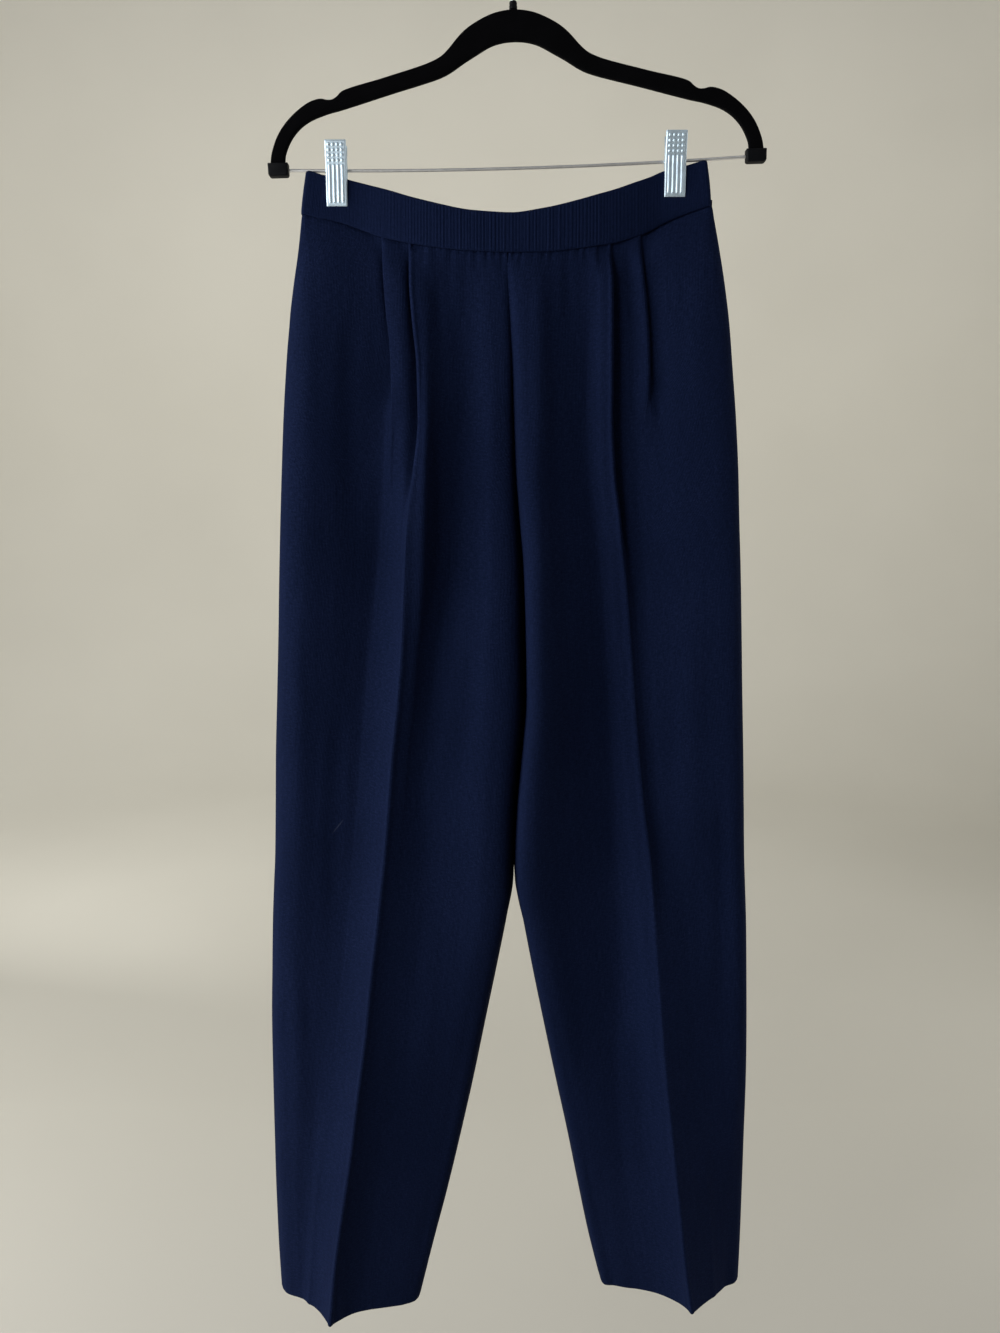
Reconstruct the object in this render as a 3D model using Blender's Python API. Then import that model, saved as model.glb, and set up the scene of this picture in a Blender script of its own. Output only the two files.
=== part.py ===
"""Pull-on knit trousers with two pleats a side, hanging by the waistband from a
slim clip hanger.  Blender 4.5.  Metres, +Z up, front of the garment towards -Y.
The origin is the inside top of the hanger's hook, where the whole thing is held.
Left and right are the wearer's: the wearer's right leg is at -X.
All sizes in the tables are millimetres."""
import bpy
import bmesh
import math
import numpy as np
from mathutils import Matrix

for old in list(bpy.data.objects):
    bpy.data.objects.remove(old, do_unlink=True)

MM = 0.001

# ---------------------------------------------------------------- named sizes
PANEL_WALL = 1.4        # one layer of the knit
BAND_WALL = 2.6         # two layers of rib with the elastic between them
SEAM_GAP = 0.3          # between pieces that are sewn together
PLEAT_LAYER = 2.6       # centre to centre of two layers in a folded pleat
CROTCH_Z = -530.0
HEM_Z = {"right": -1234.0, "left": -1222.0}
HANGER_TILT = 1.62      # degrees, the wearer's left end is the higher one
HOOK_WIRE = 3.6
ROD_DIAMETER = 2.5

# waistband, seen from the front: it is gripped flat near both ends and sags
# between the clips.  depth is how far the front (and the back) layer stands
# off the middle plane.
BAND_COLUMNS = ("x", "top_z", "seam_z", "depth")
BAND = [
    (-165.8, -201.6, -233.4, 2.0),
    (-161.0, -202.8, -234.8, 1.9),
    (-154.0, -204.8, -236.6, 1.8),
    (-143.0, -206.2, -238.6, 1.8),
    (-130.0, -209.4, -242.6, 1.9),
    (-118.0, -212.6, -247.2, 3.4),
    (-104.0, -216.8, -252.6, 6.2),
    (-83.0, -223.2, -257.6, 9.4),
    (-58.0, -229.8, -262.0, 12.0),
    (-30.0, -235.0, -264.8, 13.6),
    (0.0, -236.9, -266.0, 14.2),
    (28.0, -233.4, -265.6, 13.8),
    (56.0, -226.8, -262.6, 12.2),
    (82.0, -219.2, -258.0, 9.6),
    (103.0, -211.4, -251.4, 6.2),
    (116.0, -206.6, -245.8, 3.4),
    (125.0, -202.6, -240.6, 1.9),
    (136.0, -199.6, -235.6, 1.8),
    (146.0, -197.4, -232.0, 1.8),
    (154.0, -195.2, -229.4, 1.9),
    (159.3, -193.8, -227.4, 2.0),
]

# the two legs' outlines from the front, one row for each section
OUTLINE_COLUMNS = ("z", "side_x", "crease_x", "inner_x")
OUTLINE = {
    "right": [
        (-233.0, -172.4, -83.4, -3.4),
        (-262.0, -176.6, -83.2, -2.8),
        (-290.0, -181.4, -82.9, -1.6),
        (-320.0, -185.8, -80.9, 0.2),
        (-355.0, -189.6, -77.6, 2.2),
        (-400.0, -193.6, -76.8, 3.8),
        (-444.0, -196.6, -81.2, 5.4),
        (-480.0, -198.9, -85.6, 8.0),
        (-530.0, -201.8, -89.0, 12.0),
        (-590.0, -204.9, -94.2, 13.5),
        (-640.0, -207.8, -99.2, 13.6),
        (-690.0, -210.8, -104.4, 9.4),
        (-740.0, -213.0, -108.4, 4.6),
        (-790.0, -215.4, -113.0, 1.0),
        (-850.0, -218.6, -119.6, -5.2),
        (-900.0, -221.0, -125.2, -13.2),
        (-950.0, -223.2, -130.6, -24.4),
        (-1016.0, -224.4, -139.6, -37.6),
        (-1070.0, -225.2, -146.6, -48.8),
        (-1125.0, -225.8, -155.2, -60.4),
        (-1181.0, -225.5, -163.2, -73.2),
        (-1234.0, -224.4, -168.4, -85.4),
    ],
    "left": [
        (-226.0, 167.0, 82.6, -3.4),
        (-262.0, 173.8, 82.6, -2.8),
        (-290.0, 178.8, 83.2, -1.6),
        (-320.0, 183.4, 83.8, 0.2),
        (-355.0, 187.2, 84.4, 2.2),
        (-400.0, 192.0, 85.8, 3.8),
        (-444.0, 195.7, 89.4, 5.4),
        (-480.0, 197.8, 95.0, 8.0),
        (-530.0, 201.0, 101.8, 12.0),
        (-590.0, 204.4, 106.4, 13.5),
        (-640.0, 207.0, 108.4, 13.6),
        (-690.0, 209.8, 111.8, 9.8),
        (-740.0, 212.4, 117.2, 5.2),
        (-790.0, 214.8, 123.6, 2.4),
        (-850.0, 217.6, 130.2, 14.2),
        (-900.0, 219.6, 135.0, 23.6),
        (-950.0, 221.2, 140.0, 35.6),
        (-1012.0, 222.9, 147.0, 48.4),
        (-1070.0, 224.1, 153.4, 58.8),
        (-1125.0, 224.8, 159.9, 67.6),
        (-1177.0, 225.5, 165.6, 78.0),
        (-1222.0, 225.4, 172.0, 89.2),
    ],
}

# how far each line of a section stands forward (-) or back (+), and where the
# hollow and the inner ridge lie between the crease (0) and the inner edge (1)
DEPTH_COLUMNS = ("z", "side_y", "edge_y", "outer_y", "crease_y", "hollow_y",
                 "hollow_at", "ridge_y", "ridge_at", "inner_y")
DEPTH = {
    "right": [
        (-233.0, 0.0, -2.6, -4.6, -12.6, -13.0, 0.50, -14.4, 0.80, -14.2),
        (-262.0, 0.0, -6.0, -6.6, -15.0, -12.8, 0.50, -14.6, 0.80, -14.2),
        (-300.0, 0.0, -9.0, -7.4, -20.0, -10.8, 0.52, -15.0, 0.80, -13.6),
        (-350.0, 0.0, -11.0, -7.0, -25.0, -8.4, 0.56, -15.4, 0.82, -12.4),
        (-400.0, 0.5, -12.0, -6.4, -28.0, -7.0, 0.56, -16.0, 0.82, -11.0),
        (-450.0, 1.0, -12.5, -6.2, -29.0, -6.6, 0.54, -17.6, 0.82, -8.6),
        (-495.0, 1.6, -12.8, -6.4, -28.0, -7.4, 0.50, -20.6, 0.81, -4.0),
        (-530.0, 2.0, -13.0, -6.8, -27.0, -8.6, 0.46, -24.0, 0.80, 0.0),
        (-600.0, 3.0, -13.2, -8.4, -26.4, -11.0, 0.42, -30.0, 0.78, 3.4),
        (-700.0, 4.6, -13.2, -10.6, -27.4, -13.8, 0.38, -34.0, 0.78, 5.0),
        (-790.0, 6.4, -13.4, -13.0, -30.0, -16.4, 0.36, -32.0, 0.79, 6.4),
        (-860.0, 8.0, -13.6, -14.8, -32.6, -18.0, 0.36, -25.0, 0.80, 8.0),
        (-950.0, 10.4, -13.8, -17.0, -36.6, -20.0, 0.38, -17.4, 0.80, 10.4),
        (-1040.0, 12.6, -13.6, -18.6, -41.0, -21.8, 0.38, -14.6, 0.80, 12.6),
        (-1130.0, 14.6, -13.4, -19.8, -45.0, -24.4, 0.36, -15.6, 0.80, 15.0),
        (-1234.0, 16.0, -12.6, -20.0, -48.0, -27.6, 0.34, -20.6, 0.80, 18.0),
    ],
    "left": [
        (-226.0, 0.0, -2.6, -4.6, -12.6, -13.0, 0.42, -14.4, 0.84, -14.2),
        (-262.0, 0.0, -6.0, -8.0, -15.0, -12.0, 0.38, -14.8, 0.84, -14.2),
        (-300.0, 0.0, -8.0, -9.4, -18.6, -9.0, 0.34, -15.6, 0.85, -13.6),
        (-350.0, 0.0, -9.4, -10.4, -22.4, -6.0, 0.30, -16.6, 0.86, -12.4),
        (-400.0, 0.5, -10.0, -10.8, -23.6, -3.8, 0.28, -18.0, 0.87, -11.0),
        (-450.0, 1.0, -10.4, -11.0, -23.2, -2.8, 0.28, -20.0, 0.88, -8.6),
        (-495.0, 1.6, -10.6, -11.2, -22.4, -2.2, 0.28, -22.6, 0.88, -4.0),
        (-530.0, 2.0, -10.8, -11.4, -21.4, -2.0, 0.29, -25.0, 0.88, 0.0),
        (-600.0, 3.0, -11.0, -11.8, -20.0, -1.6, 0.30, -29.0, 0.88, 3.4),
        (-700.0, 4.6, -11.2, -12.2, -19.6, -2.0, 0.31, -31.0, 0.88, 5.0),
        (-790.0, 6.0, -11.4, -12.8, -22.0, -4.2, 0.32, -28.0, 0.88, 6.4),
        (-860.0, 7.0, -11.6, -13.4, -25.6, -7.2, 0.34, -20.6, 0.86, 8.0),
        (-950.0, 8.4, -11.8, -14.6, -31.0, -10.6, 0.35, -13.8, 0.84, 8.6),
        (-1040.0, 9.0, -11.8, -16.0, -36.6, -12.8, 0.35, -10.4, 0.82, 9.0),
        (-1130.0, 9.0, -11.4, -16.8, -41.4, -14.4, 0.34, -8.8, 0.82, 9.0),
        (-1222.0, 8.0, -10.6, -17.0, -46.0, -15.4, 0.34, -8.2, 0.82, 8.0),
    ],
}

# pleats: where the outer pleat's folded edge runs, how deep both folds go
# under it, and the roll of cloth beside the inner pleat's edge
PLEAT_COLUMNS = ("z", "outer_x", "outer_y", "outer_fold", "inner_fold",
                 "roll_w", "roll_y")
PLEAT = {
    "right": [
        (-233.0, -106.6, -9.6, 8.6, 9.6, 9.6, 0.4),
        (-285.0, -105.8, -14.8, 8.4, 9.4, 9.6, 0.6),
        (-315.0, -103.6, -17.6, 7.5, 8.4, 9.6, 0.4),
        (-345.0, -100.6, -19.6, 5.5, 6.6, 8.6, -0.6),
        (-375.0, -99.4, -20.6, 2.5, 4.8, 7.4, -1.8),
        (-405.0, -99.2, -19.8, 0.0, 3.0, 7.2, -2.6),
        (-440.0, -101.0, -18.4, 0.0, 1.0, 9.6, -2.0),
        (-480.0, -104.0, -16.4, 0.0, 0.0, 14.4, -0.4),
        (-530.0, -109.0, -14.6, 0.0, 0.0, 16.6, 2.6),
        (-600.0, -117.0, -14.4, 0.0, 0.0, 13.0, 6.4),
        (-860.0, -142.0, -21.4, 0.0, 0.0, 11.0, 6.6),
        (-1040.0, -164.0, -27.4, 0.0, 0.0, 9.0, 7.0),
        (-1130.0, -176.6, -30.6, 0.0, 0.0, 8.5, 7.4),
        (-1234.0, -190.0, -28.6, 0.0, 0.0, 8.0, 7.6),
    ],
    "left": [
        (-226.0, 105.8, -9.6, 8.6, 9.6, 9.6, 0.4),
        (-276.0, 109.2, -13.9, 8.4, 9.4, 9.6, 0.8),
        (-304.0, 112.6, -16.6, 8.2, 9.4, 9.6, 1.6),
        (-332.0, 115.4, -18.0, 7.0, 10.0, 9.0, 2.8),
        (-360.0, 116.8, -18.8, 4.5, 9.5, 9.0, 3.8),
        (-387.0, 117.4, -18.0, 1.5, 9.0, 9.0, 4.6),
        (-415.0, 118.4, -16.4, 0.0, 8.0, 9.0, 5.2),
        (-444.0, 120.0, -15.4, 0.0, 6.5, 9.0, 5.4),
        (-480.0, 122.6, -14.6, 0.0, 4.0, 9.5, 5.6),
        (-520.0, 125.6, -14.0, 0.0, 1.5, 10.0, 5.8),
        (-570.0, 129.6, -13.6, 0.0, 0.0, 10.5, 6.0),
        (-860.0, 153.0, -17.4, 0.0, 0.0, 11.0, 7.6),
        (-1040.0, 171.0, -23.0, 0.0, 0.0, 9.0, 9.4),
        (-1130.0, 181.6, -26.4, 0.0, 0.0, 8.5, 10.4),
        (-1222.0, 192.4, -26.6, 0.0, 0.0, 8.0, 11.4),
    ],
}

# back of the garment: one pressed crease a leg, a fuller seat above it
BACK_COLUMNS = ("z", "outer_y", "crease_y", "sharp", "hollow_y", "ridge_y",
                "seam_y")
BACK = [
    (-226.0, 5.6, 11.4, 0.0, 13.4, 14.2, 14.2),
    (-262.0, 9.0, 13.6, 0.0, 14.4, 14.8, 14.2),
    (-320.0, 14.0, 19.6, 0.1, 18.0, 18.4, 15.4),
    (-400.0, 18.0, 26.0, 0.3, 21.6, 23.0, 15.8),
    (-470.0, 19.4, 30.6, 0.6, 22.6, 27.6, 12.0),
    (-530.0, 20.4, 33.6, 0.8, 22.8, 30.6, 4.4),
    (-620.0, 22.0, 37.6, 1.0, 23.4, 31.6, 5.6),
    (-720.0, 24.4, 41.6, 1.0, 25.0, 31.0, 7.6),
    (-800.0, 26.6, 44.6, 1.0, 26.6, 29.0, 9.0),
    (-900.0, 29.6, 48.6, 1.0, 29.0, 27.0, 11.0),
    (-1040.0, 33.4, 53.6, 1.0, 32.4, 27.6, 14.0),
    (-1140.0, 35.6, 57.0, 1.0, 34.4, 29.0, 16.0),
    (-1234.0, 36.8, 60.0, 1.0, 35.6, 30.6, 18.0),
]

# rows of the panels: heights down the middle of the garment
ROW_Z = (-266.0, -288.0, -312.0, -340.0, -370.0, -400.0, -432.0, -466.0,
         -500.0, -530.0, -562.0, -605.0, -655.0, -705.0, -750.0, -795.0,
         -845.0, -900.0, -960.0, -1020.0, -1080.0, -1135.0, -1185.0, -1228.0)


# ---------------------------------------------------------------- small tools
def read(columns, rows, name, at):
    """Smooth value of one named column of a table at a height (or x)."""
    k = columns.index(name)
    xs = [r[0] for r in rows]
    ys = [r[k] for r in rows]
    if xs[0] > xs[-1]:
        xs, ys = xs[::-1], ys[::-1]
    if at <= xs[0]:
        return ys[0]
    if at >= xs[-1]:
        return ys[-1]
    i = 0
    while at > xs[i + 1]:
        i += 1

    def slope(j):
        if j == 0 or j == len(xs) - 1:
            a, b = (0, 1) if j == 0 else (j - 1, j)
            return (ys[b] - ys[a]) / (xs[b] - xs[a])
        s0 = (ys[j] - ys[j - 1]) / (xs[j] - xs[j - 1])
        s1 = (ys[j + 1] - ys[j]) / (xs[j + 1] - xs[j])
        if s0 * s1 <= 0.0:
            return 0.0
        return 2.0 * s0 * s1 / (s0 + s1)

    h = xs[i + 1] - xs[i]
    t = (at - xs[i]) / h
    a, b = slope(i) * h, slope(i + 1) * h
    return (ys[i] * (2 * t ** 3 - 3 * t ** 2 + 1) + a * (t ** 3 - 2 * t ** 2 + t)
            + ys[i + 1] * (3 * t ** 2 - 2 * t ** 3) + b * (t ** 3 - t ** 2))


def mix(a, b, t):
    return a + (b - a) * t


def smooth(t):
    t = min(max(t, 0.0), 1.0)
    return t * t * (3.0 - 2.0 * t)


def band(name, x):
    return read(BAND_COLUMNS, BAND, name, x)


def flare(x, t):
    """The band is a little wider at its seam (t = 1) than at its top."""
    return x + 5.0 * t * (x / 168.0) ** 3


def seam_at(x):
    """height of the band's lower edge at a given x"""
    return float(np.interp(x, [flare(r[0], 1.0) for r in BAND],
                           [r[BAND_COLUMNS.index("seam_z")] for r in BAND]))


# ---------------------------------------------------------------- the garment
def front_section(leg, z):
    """Points of one front panel at height z, from the side seam to the inner
    edge.  q runs inwards from the side of the leg."""
    out = lambda n: read(OUTLINE_COLUMNS, OUTLINE[leg], n, z)
    dep = lambda n: read(DEPTH_COLUMNS, DEPTH[leg], n, z)
    ple = lambda n: read(PLEAT_COLUMNS, PLEAT[leg], n, z)
    side_x, crease_x, inner_x = out("side_x"), out("crease_x"), out("inner_x")
    inward = 1.0 if leg == "right" else -1.0
    to_q = lambda x: (x - side_x) * inward
    side_y, edge_y = dep("side_y"), dep("edge_y")
    crest_y = dep("crease_y")

    below = smooth((CROTCH_Z + 24.0 - z) / 48.0)      # 0 above the crotch
    inner_q = to_q(inner_x) - mix(SEAM_GAP / 2, 1.2, below)
    q2, q1 = to_q(crease_x), to_q(ple("outer_x"))
    bend = 11.0
    pts = []
    # the side seam and the turn of the side
    for q in (0.0, 1.2, 4.2, bend):
        k = math.sqrt(max(0.0, 1.0 - (1.0 - q / bend) ** 2))
        pts.append((q, mix(side_y, edge_y, k) - (SEAM_GAP / 2 if q == 0.0 else 0.0)))
    # the flat outer part
    low1 = ple("outer_y") + 2 * PLEAT_LAYER * smooth(ple("outer_fold") / 5.0)
    room1, room2 = min(1.0, (q1 - bend) / 32.0), min(1.0, (q2 - q1) / 22.0)
    flat_end = q1 - 8.0 * room1
    pts.append((mix(bend, flat_end, 0.40), mix(dep("outer_y"), edge_y, 0.28)))
    pts.append((mix(bend, flat_end, 0.76), mix(dep("outer_y"), low1, 0.25)))

    def fold(qe, low, crest, depth, before, room, lean):
        """a Z fold of depth `depth`, opening out into a plain ridge; lean is
        how fast its layers fall back inwards"""
        f = smooth(depth / 4.0)
        d, g = depth, PLEAT_LAYER
        shut = [(qe - 6.0, low), (qe + d, low + lean * d),
                (qe + d, low - g + lean * d), (qe, low - g), (qe, low - 2 * g)]
        flat = [(qe - 8.0 * room, mix(before, crest, 0.52)),
                (qe - 5.0 * room, mix(before, crest, 0.70)),
                (qe - 2.4 * room, mix(before, crest, 0.87)),
                (qe - 0.9 * room, crest + 0.3), (qe + 0.9 * room, crest + 0.2)]
        return [(mix(a[0], b[0], f), mix(a[1], b[1], f)) for a, b in zip(flat, shut)]

    pts += fold(q1, low1, ple("outer_y"), ple("outer_fold"), dep("outer_y"), room1,
                0.0)
    # between the two pleats
    low2 = crest_y + 2 * PLEAT_LAYER
    f2 = smooth(ple("inner_fold") / 4.0)
    mid_y = mix(mix(ple("outer_y"), crest_y, 0.45) + 1.5, mix(ple("outer_y"), low2, 0.25), f2)
    pts.append((mix(q1, q2, 0.42), mid_y))
    pts += fold(q2, low2, crest_y, ple("inner_fold"),
                mix(ple("outer_y"), crest_y, 0.25), room2,
                ple("roll_y") / ple("roll_w"))
    # the inner half, with the roll beside the pleat's edge, the hollow and
    # the rounded inner side of the leg
    w = ple("roll_w")
    pts.append((q2 + w, crest_y + ple("roll_y")))
    rest = inner_q - q2 - w
    at, high = dep("hollow_at"), dep("ridge_at")
    low_y, top_y, inner_y = dep("hollow_y"), dep("ridge_y"), dep("inner_y")
    pts.append((q2 + w + 0.48 * at * rest, mix(crest_y + ple("roll_y"), low_y, 0.66)))
    pts.append((q2 + w + at * rest, low_y))
    pts.append((q2 + w + mix(at, high, 0.55) * rest, mix(low_y, top_y, 0.55)))
    pts.append((q2 + w + high * rest, top_y))
    turn = mix(0.20, 0.42, below)
    pts.append((q2 + w + mix(high, 1.0, 0.72) * rest, mix(top_y, inner_y, turn)))
    pts.append((inner_q, inner_y - SEAM_GAP / 2 * below))
    return [(side_x + inward * q, y) for q, y in pts]


def back_section(leg, z):
    """Points of one back panel at height z, from the side seam inwards."""
    out = lambda n: read(OUTLINE_COLUMNS, OUTLINE[leg], n, z)
    dep = lambda n: read(DEPTH_COLUMNS, DEPTH[leg], n, z)
    bak = lambda n: read(BACK_COLUMNS, BACK, n, z)
    side_x, inner_x = out("side_x"), out("inner_x")
    inward = 1.0 if leg == "right" else -1.0
    to_q = lambda x: (x - side_x) * inward
    below = smooth((CROTCH_Z + 24.0 - z) / 48.0)
    inner_q = to_q(inner_x) - mix(SEAM_GAP / 2, 1.2, below)
    q2 = to_q(out("crease_x"))
    side_y = dep("side_y")
    edge = mix(side_y, bak("outer_y"), 0.72)
    bend = 11.0
    pts = []
    for q in (0.0, 1.2, 4.2, bend):
        k = math.sqrt(max(0.0, 1.0 - (1.0 - q / bend) ** 2))
        pts.append((q, mix(side_y, edge, k) + (SEAM_GAP / 2 if q == 0.0 else 0.0)))
    sharp, crest = bak("sharp"), bak("crease_y")
    pts.append((mix(bend, q2, 0.45), bak("outer_y")))
    pts.append((mix(bend, q2, 0.76), mix(bak("outer_y"), crest, mix(0.7, 0.5, sharp))))
    pts.append((q2 - mix(8.0, 1.4, sharp), crest - 0.4))
    pts.append((q2 + mix(8.0, 1.4, sharp), crest - 0.4))
    rest = inner_q - q2
    pts.append((q2 + 0.24 * rest, mix(bak("hollow_y"), crest, mix(0.5, 0.34, sharp))))
    pts.append((q2 + 0.50 * rest, bak("hollow_y")))
    pts.append((q2 + 0.80 * rest, bak("ridge_y")))
    pts.append((q2 + 0.95 * rest, mix(bak("ridge_y"), bak("seam_y"), mix(0.3, 0.55, below))))
    pts.append((inner_q, bak("seam_y") if below < 0.5 else
                mix(bak("seam_y"), dep("inner_y") + SEAM_GAP / 2, smooth(2 * below - 1))))
    return [(side_x + inward * q, y) for q, y in pts]


def panel_grid(leg, section):
    """Rows of points from the waist seam to the hem."""
    tops = []
    for k in range(len(section(leg, -246.0))):
        z0 = -250.0
        for _ in range(8):
            z0 = seam_at(section(leg, z0)[k][0]) - 2.6 * SEAM_GAP
        tops.append(z0)
    rows = []
    for zc in ROW_Z:
        v = (zc - ROW_Z[0]) / (ROW_Z[-1] - ROW_Z[0])
        row = []
        for k, z0 in enumerate(tops):
            z = mix(z0, HEM_Z[leg], v)
            x, y = section(leg, z)[k]
            if v == 0.0 and (section is back_section or not 6 <= k <= 17):
                # the top row lies under the band, pleats and all
                sign = -1.0 if section is front_section else 1.0
                y = sign * max(abs(y), band("depth", x) - 0.4)
            row.append((x, y, z))
        rows.append(row)
    return np.array(rows)


def band_grid():
    """The waistband as a closed loop of upright sections."""
    cut = [r[0] for r in BAND]
    loop = []
    for x in cut:
        loop.append((x, -band("depth", x), x))
    for side, x in ((1.0, cut[-1]), (-1.0, cut[0])):
        arc = [(x + side * 2.0 * math.sin(a), -side * 2.0 * math.cos(a), x)
               for a in (0.7, 1.57, 2.44)]
        if side > 0:
            loop += arc
            loop += [(c, band("depth", c), c) for c in reversed(cut)]
        else:
            loop += arc
    rows = []
    for t in (0.0, 0.5, 1.0):
        rows.append([(flare(x, t), y,
                      mix(band("top_z", c), band("seam_z", c), t))
                     for x, y, c in loop])
    return np.array(rows)


# ---------------------------------------------------------------- mesh makers
COLOURS = {}


def material(name, colour, rough, metal=0.0):
    if name in COLOURS:
        return COLOURS[name]
    m = bpy.data.materials.new(name)
    m.use_nodes = True
    b = m.node_tree.nodes["Principled BSDF"]
    b.inputs["Base Color"].default_value = (*colour, 1.0)
    b.inputs["Roughness"].default_value = rough
    b.inputs["Metallic"].default_value = metal
    COLOURS[name] = m
    return m


def add(name, verts, faces, mat, smooth_deg=40.0, at=(0.0, 0.0, 0.0), turn_y=0.0):
    """One closed mesh object from millimetre points, outward normals."""
    me = bpy.data.meshes.new(name)
    me.from_pydata([(x * MM, y * MM, z * MM) for x, y, z in verts], [], faces)
    me.validate()
    bm = bmesh.new()
    bm.from_mesh(me)
    bmesh.ops.recalc_face_normals(bm, faces=bm.faces[:])
    if bm.calc_volume(signed=True) < 0:
        bmesh.ops.reverse_faces(bm, faces=bm.faces[:])
    bm.to_mesh(me)
    bm.free()
    me.shade_smooth()
    me.set_sharp_from_angle(angle=math.radians(smooth_deg))
    ob = bpy.data.objects.new(name, me)
    ob.location = [c * MM for c in at]
    ob.rotation_euler = (0.0, turn_y, 0.0)
    me.materials.append(mat)
    bpy.context.scene.collection.objects.link(ob)
    return ob


def within(leg, front):
    """Keeps a panel's wall on its own side of the seams that it meets."""
    def keep(j, last, p):
        x, y, z = p
        inner = read(OUTLINE_COLUMNS, OUTLINE[leg], "inner_x", z)
        if leg == "right":
            x = min(x, inner - SEAM_GAP / 2)
        else:
            x = max(x, inner + SEAM_GAP / 2)
        rows = DEPTH[leg]
        if j <= 1:
            y0 = read(DEPTH_COLUMNS, rows, "side_y", z)
        elif j >= last - 1 and z < CROTCH_Z + 30.0:
            y0 = read(DEPTH_COLUMNS, rows, "inner_y", z)
        else:
            return (x, y, z)
        y = min(y, y0 - SEAM_GAP / 2) if front else max(y, y0 + SEAM_GAP / 2)
        return (x, y, z)
    return keep


def wall(name, grid, thickness, mat, closed=False, keep=None):
    """A cloth wall: the grid of mid-surface points, moved half its thickness
    to each side along the surface's normal."""
    du = np.empty_like(grid)
    if closed:
        du = np.roll(grid, -1, axis=1) - np.roll(grid, 1, axis=1)
    else:
        # each side's unit direction, so a short span weighs as much as a long one
        d = np.diff(grid, axis=1)
        d /= np.linalg.norm(d, axis=2, keepdims=True)
        du[:, 1:-1] = d[:, 1:] + d[:, :-1]
        du[:, 0], du[:, -1] = d[:, 0], d[:, -1]
    dv = np.empty_like(grid)
    dv[1:-1] = grid[2:] - grid[:-2]
    dv[0], dv[-1] = grid[1] - grid[0], grid[-1] - grid[-2]
    n = np.cross(du, dv)
    n /= np.linalg.norm(n, axis=2, keepdims=True)
    # lengthen the offset at a bend so that the wall keeps its thickness
    stretch = np.ones(grid.shape[:2])
    if not closed:
        c = np.clip((d[:, 1:] * d[:, :-1]).sum(axis=2), -0.2, 1.0)
        stretch[:, 1:-1] = 1.0 / np.sqrt((1.0 + c) / 2.0)
    off = n * (thickness / 2) * np.minimum(stretch, 1.42)[..., None]
    off[0, :, 2] = off[-1, :, 2] = 0.0          # flush at the seam and the hem
    a, b = grid + off, grid - off
    rows, cols = grid.shape[:2]
    if keep:
        for g in (a, b):
            for i in range(rows):
                for j in range(cols):
                    g[i, j] = keep(j, cols - 1, g[i, j])
    verts = [tuple(p) for p in a.reshape(-1, 3)] + [tuple(p) for p in b.reshape(-1, 3)]
    N = rows * cols
    faces = []
    span = cols if closed else cols - 1
    for i in range(rows - 1):
        for j in range(span):
            k = (j + 1) % cols
            p, q, r, s = i * cols + j, i * cols + k, (i + 1) * cols + k, (i + 1) * cols + j
            faces.append((p, q, r, s))
            faces.append((N + s, N + r, N + q, N + p))
    for j in range(span):
        k = (j + 1) % cols
        faces.append((N + j, N + k, k, j))
        e = (rows - 1) * cols
        faces.append((e + j, e + k, N + e + k, N + e + j))
    if not closed:
        for i in range(rows - 1):
            p, q = i * cols, (i + 1) * cols
            faces.append((p, q, N + q, N + p))
            p, q = p + cols - 1, q + cols - 1
            faces.append((N + p, N + q, q, p))
    return add(name, verts, faces, mat, 60.0)


def plate(name, outline, y0, y1, bevel, mat, **where):
    """An outline in the X-Z plane, extruded along Y, its long edges rounded."""
    n = len(outline)
    bm = bmesh.new()
    vs = [bm.verts.new((x * MM, y0 * MM, z * MM)) for x, z in outline]
    face = bm.faces.new(vs)
    got = bmesh.ops.extrude_face_region(bm, geom=[face])
    moved = [g for g in got["geom"] if isinstance(g, bmesh.types.BMVert)]
    bmesh.ops.translate(bm, verts=moved, vec=(0.0, (y1 - y0) * MM, 0.0))
    bm.normal_update()
    if bevel:
        rims = [e for e in bm.edges
                if abs(e.verts[0].co.y - e.verts[1].co.y) < 1e-7]
        bmesh.ops.bevel(bm, geom=rims, offset=bevel * MM, segments=2, profile=0.6,
                        affect="EDGES")
    bmesh.ops.recalc_face_normals(bm, faces=bm.faces[:])
    if bm.calc_volume(signed=True) < 0:
        bmesh.ops.reverse_faces(bm, faces=bm.faces[:])
    me = bpy.data.meshes.new(name)
    bm.to_mesh(me)
    bm.free()
    me.shade_smooth()
    me.set_sharp_from_angle(angle=math.radians(35.0))
    ob = bpy.data.objects.new(name, me)
    ob.location = [c * MM for c in where.get("at", (0.0, 0.0, 0.0))]
    ob.rotation_euler = (0.0, where.get("turn_y", 0.0), 0.0)
    me.materials.append(mat)
    bpy.context.scene.collection.objects.link(ob)
    return ob


def wire(name, path, diameter, sides, mat, **where):
    """A round wire along a smooth path, flat ends."""
    p = np.array(path, dtype=float)
    t = np.gradient(p, axis=0)
    t /= np.linalg.norm(t, axis=1, keepdims=True)
    ref = np.array((0.0, 1.0, 0.0))
    verts, faces = [], []
    for c, d in zip(p, t):
        u = np.cross(d, ref)
        u /= np.linalg.norm(u)
        w = np.cross(d, u)
        for k in range(sides):
            a = 2 * math.pi * k / sides
            verts.append(tuple(c + diameter / 2 * (math.cos(a) * u + math.sin(a) * w)))
    for i in range(len(p) - 1):
        for k in range(sides):
            m = (k + 1) % sides
            faces.append((i * sides + k, i * sides + m, (i + 1) * sides + m, (i + 1) * sides + k))
    faces.append(tuple(range(sides)))
    faces.append(tuple((len(p) - 1) * sides + k for k in reversed(range(sides))))
    return add(name, verts, faces, mat, 50.0, **where)


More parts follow.
